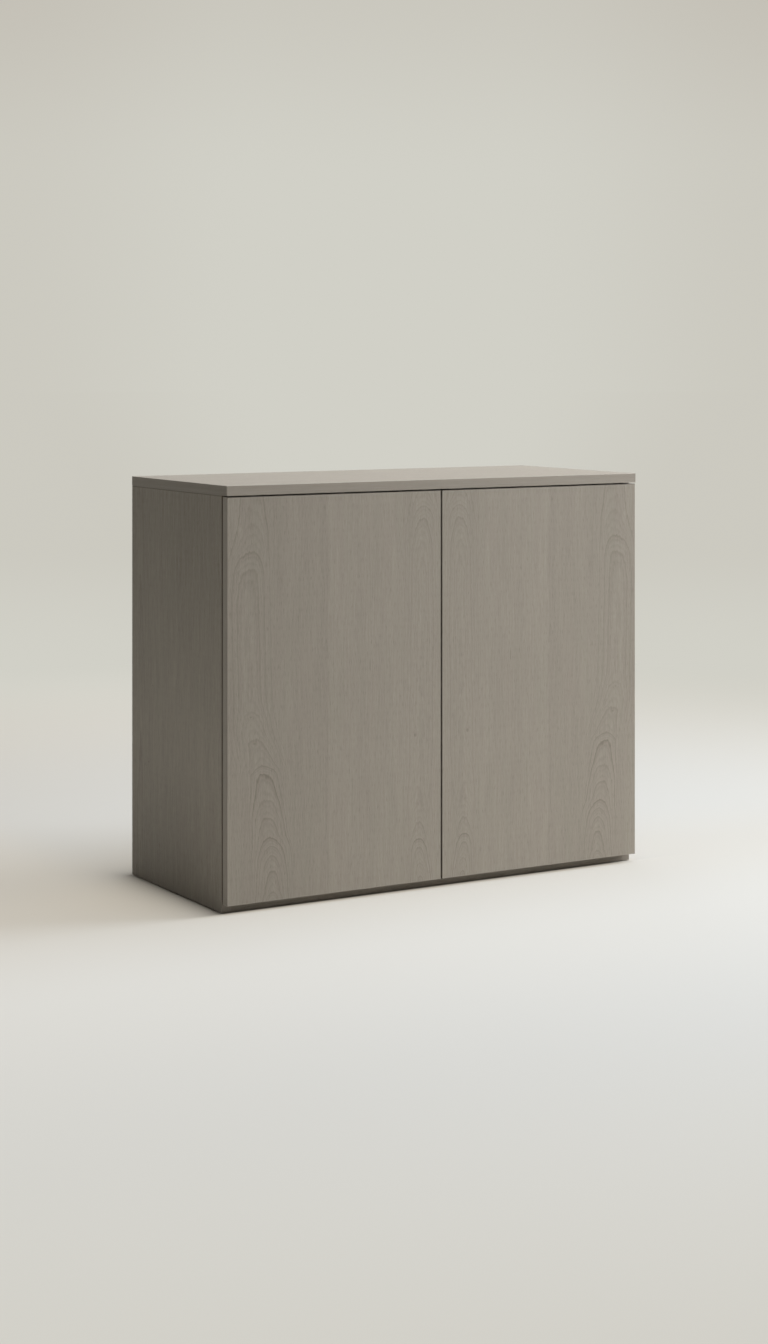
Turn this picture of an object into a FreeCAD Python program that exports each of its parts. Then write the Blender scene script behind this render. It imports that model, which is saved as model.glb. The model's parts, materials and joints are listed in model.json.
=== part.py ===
"""Office credenza: a low two-door cupboard of edge-banded boards.

Frame: origin on the floor at the centre of the footprint, X to the right,
Y to the back (the doors face -Y), Z up.  Millimetres.
"""
import FreeCAD, Part
import math
import os

Vector = FreeCAD.Vector
ORIGIN = Vector(0, 0, 0)
X_AXIS = Vector(1, 0, 0)
Y_AXIS = Vector(0, 1, 0)
Z_AXIS = Vector(0, 0, 1)

# ---------------------------------------------------------------- carcass
WIDTH = 900.0                # over the side panels and the top
DEPTH = 400.0                # door faces to the back edge of the top
HEIGHT = 765.0               # floor to the upper face of the top
TOP_THICKNESS = 18.0
SIDE_THICKNESS = 18.0
BOTTOM_THICKNESS = 18.0
PLINTH_THICKNESS = 18.0
BACK_THICKNESS = 8.0
BAND_THICKNESS = 1.0         # edge banding
BAND_ROUND = 0.6             # radius along its outer edges
PLINTH_HEIGHT = 50.0         # floor to the underside of the bottom panel
FLOOR_GAP = 1.5              # boards stay this far off the floor
BACK_INSET = 12.0            # back panel, forward of the rear edges
GROOVE_DEPTH = 8.0
GROOVE_PLAY = 0.15           # round the back panel in its groove
GROOVE_END_PLAY = 0.5        # beyond the back panel's edges

# ------------------------------------------------------------------ doors
DOOR_THICKNESS = 18.0
DOOR_CARCASS_GAP = 3.0       # behind the closed door
DOOR_TOP_GAP = 2.5           # under the top
DOOR_MIDDLE_GAP = 3.0        # between the doors
DOOR_SIDE_INSET = 1.0        # in from the side panels' outer faces
DOOR_FLOOR_GAP = 17.0
DOOR_OPENING = 95.0          # degrees

# ------------------------------------------------------------------ shelf
SHELF_THICKNESS = 25.0
SHELF_SIDE_GAP = 1.0
SHELF_FRONT_INSET = 14.0
SHELF_BACK_GAP = 2.0
HOLE_PITCH = 32.0            # rows of peg holes in the side panels
HOLE_ROW_SETBACK = 37.0      # front row behind the carcass front, rear row before the back
HOLE_RADIUS = 2.5
HOLE_DEPTH = 12.0
HOLES_EACH_WAY = 3           # spare holes above and below the shelf's own
PEG_PLAY = 0.05
PEG_LENGTH = 10.0
REST_REACH = 9.0             # shelf support, out from the side panel
REST_WIDTH = 11.0
REST_WALL = 1.8
REST_DROP = 9.0

# --------------------------------------------- concealed hinge, closed door
# Plan sizes run inwards from the door's edge (u) and back from the door's
# inner face (v); w is the height above the hinge's middle.
HINGE_END_DISTANCE = 100.0   # door's top and bottom edges to a hinge's middle
OUTER_ARM_PIVOT = (43.0, 16.0)
INNER_ARM_PIVOT = (29.4, -8.75)
OUTER_CUP_PIVOT = (12.8, -2.5)
INNER_CUP_PIVOT = (15.5, -7.4)
OUTER_LINK_RATIO = -0.2643   # turn of the link for each degree of the door
INNER_LINK_RATIO = -0.3833
PIN_RADIUS = 1.0
PIN_PLAY = 0.05              # link on its pin
PIN_FIT = 0.02               # pin in the arm or cup
PIN_HEAD_RADIUS = 1.7
PIN_HEAD = 0.6
OPEN_PIVOT_PLAY = 0.1        # round the pin in the inner link's slotted eye
LINK_GAP = 0.5               # from the hinge's middle to either link
LINK_WIDTH = 4.0             # each link, along the pins
LINK_HALF_BREADTH = 1.45     # across the strap, in plan
LINK_EYE_WALL = 1.1
OUTER_LINK_BOW = 4.0         # how far the long link bows round the cup's rim
ARM_WALL = 1.4
ARM_PLAY = 0.5               # each side of the links, inside the arm
ARM_NOSE_RADIUS = 2.1
ARM_NECK = 12.0              # from the nose, the part that enters the cup's mouth
ARM_CHEEK = 3.4              # round the outer pivot, on the door's side
ARM_CROWN = (3.6, 3.5)       # arm's highest corner, from the outer pivot
ARM_SLOPE = 16.0             # outer pivot to where the arm runs level
ARM_THROAT = (4.5, 3.0)      # lower edge behind the outer pivot, from that pivot
ARM_FOOT_SETBACK = 4.0       # lower edges start this far before the level run
ARM_WEB_START = 2.6          # v from the outer pivot to the channel's closed back
ARM_BACK = 34.5              # u of the arm's outer face over the mounting plate
ARM_FOOT = 21.5              # u of its lower edges
ARM_LENGTH = 66.0            # v of its rear end
CUP_EDGE_DISTANCE = 6.5      # door's edge to the cup's bore
CUP_RADIUS = 17.5
CUP_DEPTH = 13.4
CUP_WALL = 0.9
CUP_FLOOR = 0.8
CUP_HALF_OPENING = 8.0       # between the cup's flat cheeks
CUP_PIN_GRIP = 3.0           # cup pins into the cheeks
CUP_RELIEF_SHORT = 2.1       # relief for the links stops this far above the pin's underside
CUP_BORE_PLAY = 0.1
CUP_RIM = 2.0                # flange round the cup, on the door
CUP_FLANGE = 1.0
CUP_SCREW_OFFSET = 9.5
CUP_SCREW_SPACING = 45.0
CUP_EAR_RADIUS = 5.5
PLATE_HALF_HEIGHT = 8.0
PLATE_RIB_PLAY = 0.3         # inside the arm's channel
PLATE_RIB_HEAD_GAP = 1.5     # under the arm's back
PLATE_RIB_SETBACK = 3.0      # behind the plate's front end
PLATE_START = 30.0           # v of the mounting plate's front end
PLATE_END = 64.0
PLATE_WING = 23.0            # half height over the screw wings
PLATE_WING_BREADTH = 12.0
PLATE_WING_THICKNESS = 2.5
PLATE_WING_ROUND = 4.8

# ------------------------------------------------------- push-to-open latch
LATCH_AXIS_OFFSET = 40.0     # x of the latch's axis, either side
LATCH_WIDTH = 18.0
LATCH_HEIGHT = 16.0
LATCH_LENGTH = 76.0
LATCH_SETBACK = 2.0          # behind the carcass front
LATCH_EAR_REACH = 9.0
LATCH_EAR_THICKNESS = 2.5
LATCH_EAR_LENGTH = 14.0
LATCH_ROUND = 3.0
PLUNGER_RADIUS = 4.0
PLUNGER_PLAY = 0.1
PLUNGER_TIP_GAP = 0.3        # to the strike plate
PLUNGER_TRAVEL = 12.0
PLUNGER_GUIDED = 22.0        # length still in the housing when fully out
MAGNET_RADIUS = 5.2
MAGNET_THICKNESS = 1.8
STRIKE_THICKNESS = 1.2
STRIKE_HALF_WIDTH = 8.0
STRIKE_ABOVE = 4.5
STRIKE_BELOW = 14.0
STRIKE_ROUND = 2.0
STRIKE_SCREW_RISE = 4.0      # lower edge to the screw

# --------------------------------------------------------- levelling feet
FOOT_SIDE_DISTANCE = 20.0    # spindle's axis to the side panel
FOOT_END_DISTANCE = 44.0     # spindle's axis to the carcass front or back panel
PAD_RADIUS = 16.0
PAD_EDGE = 2.5
PAD_HEIGHT = 9.0
PAD_NECK_START = 6.75
PAD_BEVEL = 1.0
PAD_NECK_RADIUS = 6.5
SPINDLE_RADIUS = 4.0
SPINDLE_PLAY = 0.08
SPINDLE_END_RADIUS = 2.6
SPINDLE_END_PLAY = 0.05
SPINDLE_SEAT = 3.0           # bottom of the pad's socket
SPINDLE_PAD_GAP = 1.0        # threaded part, above the pad
SPINDLE_TOP_GAP = 3.0        # under the bottom panel
KEY_SOCKET = 4.0             # across the flats
KEY_DEPTH = 4.0
BRACKET_SIZE = 38.0
BRACKET_WALL = 3.0
BRACKET_BOSS_RADIUS = 8.0
BRACKET_SCREW_EDGE = 6.0     # from the flange's edges to a screw
FOOT_TRAVEL = 12.0           # downwards, out of the bracket
THREAD_ENGAGED = 11.0        # spindle still in the bracket when fully down
ACCESS_RADIUS = 5.0
CAP_RADIUS = 7.5
CAP_THICKNESS = 1.4          # head, let in flush with the bottom panel
CAP_STEM = 7.0
CAP_PLAY = 0.1

# ----------------------------------------------------- joints in the boards
CAM_RADIUS = 7.5
CAM_DEPTH = 13.0
CAM_DISTANCE = 34.0          # board's end to the cam's axis
CAM_PLAY = 0.1
CAM_SLOT = 1.6
CAM_SLOT_DEPTH = 1.5
CAM_SLOT_LENGTH = 10.0
BOLT_RADIUS = 3.0
BOLT_NECK_RADIUS = 2.0
BOLT_NECK = 6.0
BOLT_THREAD = 11.0           # part of the bolt in the other board
BOLT_PLAY = 0.5              # bolt in its clearance hole
BOLT_SHORT = 2.0             # bolt's end before the cam's axis
CAM_END_DISTANCE = 96.0      # cams, from the carcass front or the back panel
DOWEL_RADIUS = 4.0
DOWEL_LENGTH = 30.0
DOWEL_PLAY = 0.1
DOWEL_IN_FACE = 12.0         # part of the dowel in the board's face
DOWEL_CAM_DISTANCE = 32.0
DOWEL_BEVEL = 1.0
HOLE_SPARE = 1.0             # depth beyond a screw, bolt, dowel or plunger

# ---------------------------------------------------------------- screws
SCREW_RADIUS = 1.75
SCREW_HEAD_RADIUS = 3.7
SCREW_HEAD = 1.4
SCREW_PLAY = 0.1
SCREW_LENGTH = 12.0
PLATE_SCREW_RADIUS = 2.4
PLATE_SCREW_HEAD_RADIUS = 4.4
ADJUSTER_RADIUS = 1.9
ADJUSTER_HEAD_RADIUS = 3.2
ADJUSTER_LEAD = 4.0          # front one, before the mounting plate's screws
ADJUSTER_END_DISTANCE = 8.0  # rear one, before the arm's end
BACK_SCREW_COUNT = 5
BACK_SCREW_LENGTH = 25.0

# ------------------------------------------------------------ worked out
HALF_WIDTH = WIDTH / 2
FRONT = -DEPTH / 2
BACK = DEPTH / 2
INNER_HALF_WIDTH = HALF_WIDTH - SIDE_THICKNESS
TOP_UNDERSIDE = HEIGHT - TOP_THICKNESS
BOTTOM_TOP = PLINTH_HEIGHT + BOTTOM_THICKNESS
DOOR_INNER_FACE = FRONT + DOOR_THICKNESS
CARCASS_FRONT = DOOR_INNER_FACE + DOOR_CARCASS_GAP
DOOR_TOP = TOP_UNDERSIDE - DOOR_TOP_GAP
BACK_PANEL_REAR = BACK - BACK_INSET
BACK_PANEL_FRONT = BACK_PANEL_REAR - BACK_THICKNESS
SHELF_UNDERSIDE = (BOTTOM_TOP + TOP_UNDERSIDE - SHELF_THICKNESS) / 2
HOLE_ROWS = (CARCASS_FRONT + HOLE_ROW_SETBACK, BACK_PANEL_FRONT - HOLE_ROW_SETBACK)
PEG_HEIGHT = SHELF_UNDERSIDE - REST_WALL - HOLE_RADIUS
HINGE_HEIGHTS = (DOOR_FLOOR_GAP + HINGE_END_DISTANCE, DOOR_TOP - HINGE_END_DISTANCE)
HINGE_PLACE = Vector(-HALF_WIDTH + DOOR_SIDE_INSET, DOOR_INNER_FACE, 0)
PANEL_FACE = SIDE_THICKNESS - DOOR_SIDE_INSET        # u of the side panel's inner face
PLATE_SCREW_LINE = DOOR_CARCASS_GAP + HOLE_ROW_SETBACK
CUP_CENTRE = CUP_EDGE_DISTANCE + CUP_RADIUS
LATCH_HEIGHT_ABOVE_FLOOR = TOP_UNDERSIDE - LATCH_HEIGHT / 2
FOOT_X = INNER_HALF_WIDTH - FOOT_SIDE_DISTANCE
FOOT_ROWS = (CARCASS_FRONT + FOOT_END_DISTANCE, BACK_PANEL_FRONT - FOOT_END_DISTANCE)
SPINDLE_TOP = PLINTH_HEIGHT - SPINDLE_TOP_GAP
BRACKET_HEIGHT = FOOT_TRAVEL + THREAD_ENGAGED + SPINDLE_TOP_GAP
PLUNGER_TAIL = PLUNGER_TRAVEL + PLUNGER_GUIDED       # in the housing when pushed home
CAM_ROWS = (CARCASS_FRONT + CAM_END_DISTANCE, BACK_PANEL_FRONT - CAM_END_DISTANCE)
FOOT_NAMES = ("front_left", "front_right", "rear_left", "rear_right")


# ---------------------------------------------------------------- helpers
def box(low, high):
    """Box between two corners."""
    size = [top - bottom for bottom, top in zip(low, high)]
    return Part.makeBox(*size, Vector(*low))


def rod(start, direction, radius, length):
    """Round bar from a point along a direction."""
    return Part.makeCylinder(radius, length, Vector(*start), direction)


def prism(outline, bottom, top):
    """Upright prism over an outline of (x, y) points."""
    corners = [Vector(x, y, bottom) for x, y in outline]
    face = Part.Face(Part.makePolygon(corners + corners[:1]))
    return face.extrude(Vector(0, 0, top - bottom))


def fused(shapes):
    """One solid from several that touch or overlap."""
    result = shapes[0].fuse(shapes[1:]) if len(shapes) > 1 else shapes[0]
    return result.removeSplitter()


def without(shape, tools):
    """A shape with holes, slots or recesses cut into it."""
    return shape.cut(tools) if tools else shape


def mirrored(shape):
    """The same piece on the other side of the cabinet's middle."""
    return shape.mirror(ORIGIN, X_AXIS)


def both_sides(shapes):
    """Left-hand pieces followed by their right-hand mirror images."""
    return list(shapes) + [mirrored(shape) for shape in shapes]


def export(node, *solids):
    """Write one sub-part, a single solid or a group of separate solids."""
    shape = solids[0] if len(solids) == 1 else Part.makeCompound(list(solids))
    shape.exportStep(f"parts/{node}.step")


def banded_board(low, high, edges):
    """Core of a board and its edge bands.

    edges lists (axis, side) pairs, axis 0 to 2 and side 0 or 1 for the low or high
    edge.  Each band takes the whole of the edge that the earlier bands leave.
    """
    low, high = list(low), list(high)
    thickness = min(top - bottom for bottom, top in zip(low, high))
    bands = []
    for axis, side in edges:
        strip_low, strip_high = list(low), list(high)
        if side:
            strip_low[axis] = high[axis] = high[axis] - BAND_THICKNESS
            outer = strip_high[axis]
        else:
            strip_high[axis] = low[axis] = low[axis] + BAND_THICKNESS
            outer = strip_low[axis]
        strip = box(strip_low, strip_high)
        long_edges = [edge for edge in strip.Edges
                      if edge.Length > thickness + BAND_THICKNESS
                      and all(abs(end.Point[axis] - outer) < 1e-6 for end in edge.Vertexes)]
        bands.append(strip.makeFillet(BAND_ROUND, long_edges))
    return box(low, high), bands


def screw(seat, direction, length, radius=SCREW_RADIUS, head_radius=SCREW_HEAD_RADIUS):
    """Domed-head screw: seat is the underside of its head, direction runs to its tip."""
    shank = Part.makeCylinder(radius, length, seat, direction)
    head = Part.makeCone(head_radius, 0.6 * head_radius, SCREW_HEAD, seat, direction * -1)
    return fused([shank, head])


def screw_hole(seat, direction, length, radius=SCREW_RADIUS):
    """Hole that a screw of this seat and length fits, with a little depth to spare."""
    return Part.makeCylinder(radius + SCREW_PLAY, length + HOLE_SPARE, seat, direction)


# ----------------------------------------------------- concealed hinge plan
def turned(vector, degrees):
    """A plan vector turned the way the left-hand door opens, clockwise from above."""
    angle = math.radians(degrees)
    cos, sin = math.cos(angle), math.sin(angle)
    return Vector(cos * vector.x + sin * vector.y, -sin * vector.x + cos * vector.y, 0)


def open_pivot_track():
    """Where the inner cup pin runs in the inner link's eye, as the ends of a slot.

    The long link carries the door.  The short link follows at a steady ratio, so its
    eye is slotted along the line between the two furthest places of the pin, and
    wide enough for how far the pin strays from that line.
    """
    outer_arm, inner_arm = Vector(*OUTER_ARM_PIVOT, 0), Vector(*INNER_ARM_PIVOT, 0)
    outer_cup, inner_cup = Vector(*OUTER_CUP_PIVOT, 0), Vector(*INNER_CUP_PIVOT, 0)
    track = []
    for step in range(21):
        opening = DOOR_OPENING * step / 20
        carried = outer_arm + turned(outer_cup - outer_arm, OUTER_LINK_RATIO * opening)
        pin = carried + turned(inner_cup - outer_cup, opening)
        track.append(inner_arm + turned(pin - inner_arm, -INNER_LINK_RATIO * opening))
    first, last = max(((a, b) for a in track for b in track),
                      key=lambda pair: pair[0].distanceToPoint(pair[1]))
    along = (last - first).normalize()
    across = Vector(-along.y, along.x, 0)
    offsets = [(point - first).dot(across) for point in track]
    middle = (max(offsets) + min(offsets)) / 2
    stray = (max(offsets) - min(offsets)) / 2
    return first + across * middle, last + across * middle, stray


def strap(start, end, bow, half_breadth, bottom, top):
    """Flat link between two points: a band that bows to the right of start to end."""
    along = (end - start).normalize()
    right = Vector(along.y, -along.x, 0)
    span = start.distanceToPoint(end)
    middle = (start + end) * 0.5 + right * bow
    bend_radius = (span ** 2 / 4 + bow ** 2) / (2 * bow)
    centre = middle - right * bend_radius

    def rail(offset):
        return [centre + (point - centre).normalize() * (bend_radius + offset)
                for point in (start, middle, end)]

    inner, outer = rail(-half_breadth), rail(half_breadth)
    edges = [Part.Arc(*outer).toShape(),
             Part.makeLine(outer[2], inner[2]),
             Part.Arc(*reversed(inner)).toShape(),
             Part.makeLine(inner[0], outer[0])]
    face = Part.Face(Part.Wire(edges))
    face.translate(Vector(0, 0, bottom))
    return face.extrude(Vector(0, 0, top - bottom))


def capsule(start, end, radius, bottom, top):
    """Upright prism over a slot shape with round ends."""
    along = (end - start).normalize() * radius
    side = Vector(-along.y, along.x, 0)
    corners = [start + side, start - side, end - side, end + side]
    bar = prism([(corner.x, corner.y) for corner in corners], bottom, top)
    ends = [rod((point.x, point.y, bottom), Z_AXIS, radius, top - bottom)
            for point in (start, end)]
    return fused([bar] + ends)


def outer_link():
    """Long bowed link, above the hinge's middle, with an eye round a pin at each end."""
    bottom, top = LINK_GAP, LINK_GAP + LINK_WIDTH
    cup, arm = Vector(*OUTER_CUP_PIVOT, 0), Vector(*OUTER_ARM_PIVOT, 0)
    eye = PIN_RADIUS + PIN_PLAY + LINK_EYE_WALL
    pieces = [strap(cup, arm, OUTER_LINK_BOW, LINK_HALF_BREADTH, bottom, top)]
    pieces += [rod((pin.x, pin.y, bottom), Z_AXIS, eye, LINK_WIDTH) for pin in (cup, arm)]
    bores = [rod((pin.x, pin.y, bottom), Z_AXIS, PIN_RADIUS + PIN_PLAY, LINK_WIDTH)
             for pin in (cup, arm)]
    return without(fused(pieces), bores)


def inner_link():
    """Short link, below the hinge's middle, with a slotted eye at the cup's pin."""
    bottom, top = -LINK_GAP - LINK_WIDTH, -LINK_GAP
    arm = Vector(*INNER_ARM_PIVOT, 0)
    slot_start, slot_end, stray = open_pivot_track()
    slot_radius = PIN_RADIUS + stray + OPEN_PIVOT_PLAY
    slot_middle = (slot_start + slot_end) * 0.5
    bar = capsule(slot_middle, arm, LINK_HALF_BREADTH, bottom, top)
    eye = capsule(slot_start, slot_end, slot_radius + LINK_EYE_WALL, bottom, top)
    arm_eye = rod((arm.x, arm.y, bottom), Z_AXIS, PIN_RADIUS + PIN_PLAY + LINK_EYE_WALL, LINK_WIDTH)
    slot = capsule(slot_start, slot_end, slot_radius, bottom, top)
    bore = rod((arm.x, arm.y, bottom), Z_AXIS, PIN_RADIUS + PIN_PLAY, LINK_WIDTH)
    return without(fused([bar, eye, arm_eye]), [slot, bore])


def arm_half_height():
    """Half the height of the arm over its two side plates."""
    return LINK_GAP + LINK_WIDTH + ARM_PLAY + ARM_WALL


def hinge_arm():
    """Pressed steel channel that holds the arm pivots, open towards the side panel."""
    half = arm_half_height()
    inner, outer = Vector(*INNER_ARM_PIVOT, 0), Vector(*OUTER_ARM_PIVOT, 0)
    along = (outer - inner).normalize()
    right = Vector(along.y, -along.x, 0)
    nose_right, nose_left = inner + right * ARM_NOSE_RADIUS, inner - right * ARM_NOSE_RADIUS
    neck = nose_right + along * ARM_NECK
    shoulder = outer + right * ARM_CHEEK
    crown = (outer.x + ARM_CROWN[0], outer.y + ARM_CROWN[1])
    slope_end = outer.y + ARM_SLOPE
    web_start = outer.y + ARM_WEB_START
    outline = [(nose_right.x, nose_right.y), (neck.x, neck.y), (shoulder.x, shoulder.y), crown,
               (ARM_BACK, slope_end), (ARM_BACK, ARM_LENGTH), (ARM_FOOT, ARM_LENGTH),
               (ARM_FOOT, slope_end - ARM_FOOT_SETBACK),
               (outer.x - ARM_THROAT[0], outer.y + ARM_THROAT[1]),
               (nose_left.x, nose_left.y)]
    nose = rod((inner.x, inner.y, -half), Z_AXIS, ARM_NOSE_RADIUS, 2 * half)
    body = fused([prism(outline, -half, half), nose])
    hollow = [(0.0, -CUP_DEPTH), (2 * outer.x, -CUP_DEPTH), (2 * outer.x, web_start),
              (crown[0] - ARM_WALL, web_start),
              (ARM_BACK - ARM_WALL, slope_end - ARM_WALL / 2),
              (ARM_BACK - ARM_WALL, 2 * ARM_LENGTH), (0.0, 2 * ARM_LENGTH)]
    channel = prism(hollow, -half + ARM_WALL, half - ARM_WALL)
    pin_holes = [rod((pivot.x, pivot.y, -half), Z_AXIS, PIN_RADIUS + PIN_FIT, 2 * half)
                 for pivot in (inner, outer)]
    adjusters = [rod((0.0, place, 0.0), X_AXIS, ADJUSTER_RADIUS + PIN_FIT, 2 * ARM_BACK)
                 for place in adjuster_places()]
    return without(body, [channel] + pin_holes + adjusters)


def adjuster_places():
    """v of the two adjusting screws through the arm's back."""
    return (PLATE_SCREW_LINE - ADJUSTER_LEAD, ARM_LENGTH - ADJUSTER_END_DISTANCE)


def adjusting_screws():
    """Screws through the arm's back onto the mounting plate's rib."""
    length = PLATE_RIB_HEAD_GAP + ARM_WALL - SCREW_PLAY
    return [screw(Vector(ARM_BACK, place, 0), X_AXIS * -1, length,
                  ADJUSTER_RADIUS, ADJUSTER_HEAD_RADIUS) for place in adjuster_places()]


def mounting_plate():
    """Die-cast plate on the side panel: base, two screw wings and a rib inside the arm."""
    half_rib = arm_half_height() - ARM_WALL - PLATE_RIB_PLAY
    rib_top = ARM_BACK - ARM_WALL - PLATE_RIB_HEAD_GAP
    base = box((PANEL_FACE, PLATE_START, -PLATE_HALF_HEIGHT),
               (ARM_FOOT, PLATE_END, PLATE_HALF_HEIGHT))
    rib = box((PANEL_FACE, PLATE_START + PLATE_RIB_SETBACK, -half_rib),
              (rib_top, PLATE_END, half_rib))
    wings = box((PANEL_FACE, PLATE_SCREW_LINE - PLATE_WING_BREADTH / 2, -PLATE_WING),
                (PANEL_FACE + PLATE_WING_THICKNESS, PLATE_SCREW_LINE + PLATE_WING_BREADTH / 2,
                 PLATE_WING))
    corners = [edge for edge in wings.Edges
               if abs(edge.Length - PLATE_WING_THICKNESS) < 1e-6]
    wings = wings.makeFillet(PLATE_WING_ROUND, corners)
    return without(fused([base, rib, wings]), plate_screw_holes())


def plate_screw_seats():
    """Undersides of the mounting plate's two screw heads."""
    return [Vector(PANEL_FACE + PLATE_WING_THICKNESS, PLATE_SCREW_LINE, side * HOLE_PITCH / 2)
            for side in (-1, 1)]


def plate_screw_length():
    """Head seat to tip."""
    return PLATE_WING_THICKNESS + HOLE_DEPTH - HOLE_SPARE


def plate_screw_holes():
    """Holes through the wings and into the side panel."""
    return [screw_hole(seat, X_AXIS * -1, plate_screw_length(), PLATE_SCREW_RADIUS)
            for seat in plate_screw_seats()]


def plate_screws():
    """Screws that hold the mounting plate."""
    return [screw(seat, X_AXIS * -1, plate_screw_length(), PLATE_SCREW_RADIUS,
                  PLATE_SCREW_HEAD_RADIUS) for seat in plate_screw_seats()]


def cup_screw_seats():
    """Undersides of the cup's two screw heads."""
    return [Vector(CUP_CENTRE + CUP_SCREW_OFFSET, CUP_FLANGE, side * CUP_SCREW_SPACING / 2)
            for side in (-1, 1)]


def cup_cheek_depth():
    """How far the cup's pins reach into its cheeks."""
    return CUP_HALF_OPENING + CUP_PIN_GRIP


def hinge_cup():
    """Round pot sunk in the door, with flat cheeks inside and an eared flange."""
    pot = rod((CUP_CENTRE, -CUP_DEPTH, 0), Y_AXIS, CUP_RADIUS, CUP_DEPTH)
    rim = rod((CUP_CENTRE, 0, 0), Y_AXIS, CUP_RADIUS + CUP_RIM, CUP_FLANGE)
    seats = cup_screw_seats()
    ears = [rod((seat.x, 0, seat.z), Y_AXIS, CUP_EAR_RADIUS, CUP_FLANGE) for seat in seats]
    bridge = box((seats[0].x - CUP_EAR_RADIUS, 0, seats[0].z),
                 (seats[0].x + CUP_EAR_RADIUS, CUP_FLANGE, seats[1].z))
    body = fused([pot, rim, bridge] + ears)
    cavity_depth = CUP_DEPTH - CUP_FLOOR
    round_cavity = rod((CUP_CENTRE, -cavity_depth, 0), Y_AXIS, CUP_RADIUS - CUP_WALL,
                       CUP_DEPTH + CUP_FLANGE)
    between_cheeks = box((0, -cavity_depth, -CUP_HALF_OPENING),
                         (2 * CUP_CENTRE, CUP_FLANGE, CUP_HALF_OPENING))
    cavity = round_cavity.common(between_cheeks)
    relief_depth = PIN_RADIUS - OUTER_CUP_PIVOT[1] - CUP_RELIEF_SHORT
    relief = box((-CUP_RIM, -relief_depth, -CUP_HALF_OPENING),
                 (OUTER_CUP_PIVOT[0], 2 * CUP_FLANGE, CUP_HALF_OPENING))
    reach = cup_cheek_depth()
    holes = [rod((*OUTER_CUP_PIVOT, 0), Z_AXIS, PIN_RADIUS + PIN_FIT, reach),
             rod((*INNER_CUP_PIVOT, -reach), Z_AXIS, PIN_RADIUS + PIN_FIT, 2 * reach)]
    holes += [screw_hole(seat, Y_AXIS * -1, SCREW_LENGTH) for seat in seats]
    return without(body, [cavity, relief] + holes)


def arm_pins():
    """Headed pins in the arm: a full one for the long link, a short one for the other."""
    half = arm_half_height()
    outer_x, outer_y = OUTER_ARM_PIVOT
    inner_x, inner_y = INNER_ARM_PIVOT
    long_pin = [rod((outer_x, outer_y, -half), Z_AXIS, PIN_RADIUS, 2 * half),
                rod((outer_x, outer_y, half), Z_AXIS, PIN_HEAD_RADIUS, PIN_HEAD),
                rod((outer_x, outer_y, -half - PIN_HEAD), Z_AXIS, PIN_HEAD_RADIUS, PIN_HEAD)]
    short_pin = [rod((inner_x, inner_y, -half), Z_AXIS, PIN_RADIUS, half - LINK_GAP),
                 rod((inner_x, inner_y, -half - PIN_HEAD), Z_AXIS, PIN_HEAD_RADIUS, PIN_HEAD)]
    return [fused(long_pin), fused(short_pin)]


def cup_pins():
    """Plain pins between the cup's cheeks; the long link's reaches from one cheek only."""
    reach = cup_cheek_depth() - PIN_FIT
    return [rod((*OUTER_CUP_PIVOT, LINK_GAP), Z_AXIS, PIN_RADIUS, reach - LINK_GAP),
            rod((*INNER_CUP_PIVOT, -reach), Z_AXIS, PIN_RADIUS, 2 * reach)]


def at_hinges(shapes):
    """Copies of left-hand hinge pieces at the lower and the upper hinge."""
    return [shape.translated(HINGE_PLACE + Z_AXIS * height)
            for height in HINGE_HEIGHTS for shape in shapes]


def build_hinges():
    """Two concealed hinges a door: the arms fixed to the sides, the cups to the doors."""
    carcass_groups = {
        "hinge_mounting_plates": [mounting_plate()],
        "hinge_arms": [hinge_arm()],
        "hinge_arm_pins": arm_pins(),
        "hinge_plate_screws": plate_screws(),
        "hinge_adjusting_screws": adjusting_screws(),
    }
    for node, shapes in carcass_groups.items():
        export(node, *both_sides(at_hinges(shapes)))
    cup_screws = [screw(seat, Y_AXIS * -1, SCREW_LENGTH) for seat in cup_screw_seats()]
    door_groups = {
        "hinge_cups": [hinge_cup()],
        "cup_pins": cup_pins(),
        "cup_screws": cup_screws,
        "outer_links": [outer_link()],
        "inner_links": [inner_link()],
    }
    for node, shapes in door_groups.items():
        left = at_hinges(shapes)
        export(f"left_{node}", *left)
        export(f"right_{node}", *[mirrored(shape) for shape in left])


# ------------------------------------------------------------------ latches
def latch_axis_point(along_y):
    """Point on the left-hand latch's axis."""
    return Vector(-LATCH_AXIS_OFFSET, along_y, LATCH_HEIGHT_ABOVE_FLOOR)


def latch_screw_seats():
    """Undersides of the two screw heads, below the housing's ears."""
    middle = CARCASS_FRONT + LATCH_SETBACK + LATCH_LENGTH / 2
    offset = LATCH_WIDTH / 2 + LATCH_EAR_REACH / 2
    return [Vector(-LATCH_AXIS_OFFSET + side * offset, middle, TOP_UNDERSIDE - LATCH_EAR_THICKNESS)
            for side in (-1, 1)]


def strike_screw_seat():
    """Underside of the strike plate's screw head."""
    drop = STRIKE_BELOW - STRIKE_SCREW_RISE
    return latch_axis_point(DOOR_INNER_FACE + STRIKE_THICKNESS) - Z_AXIS * drop


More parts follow.
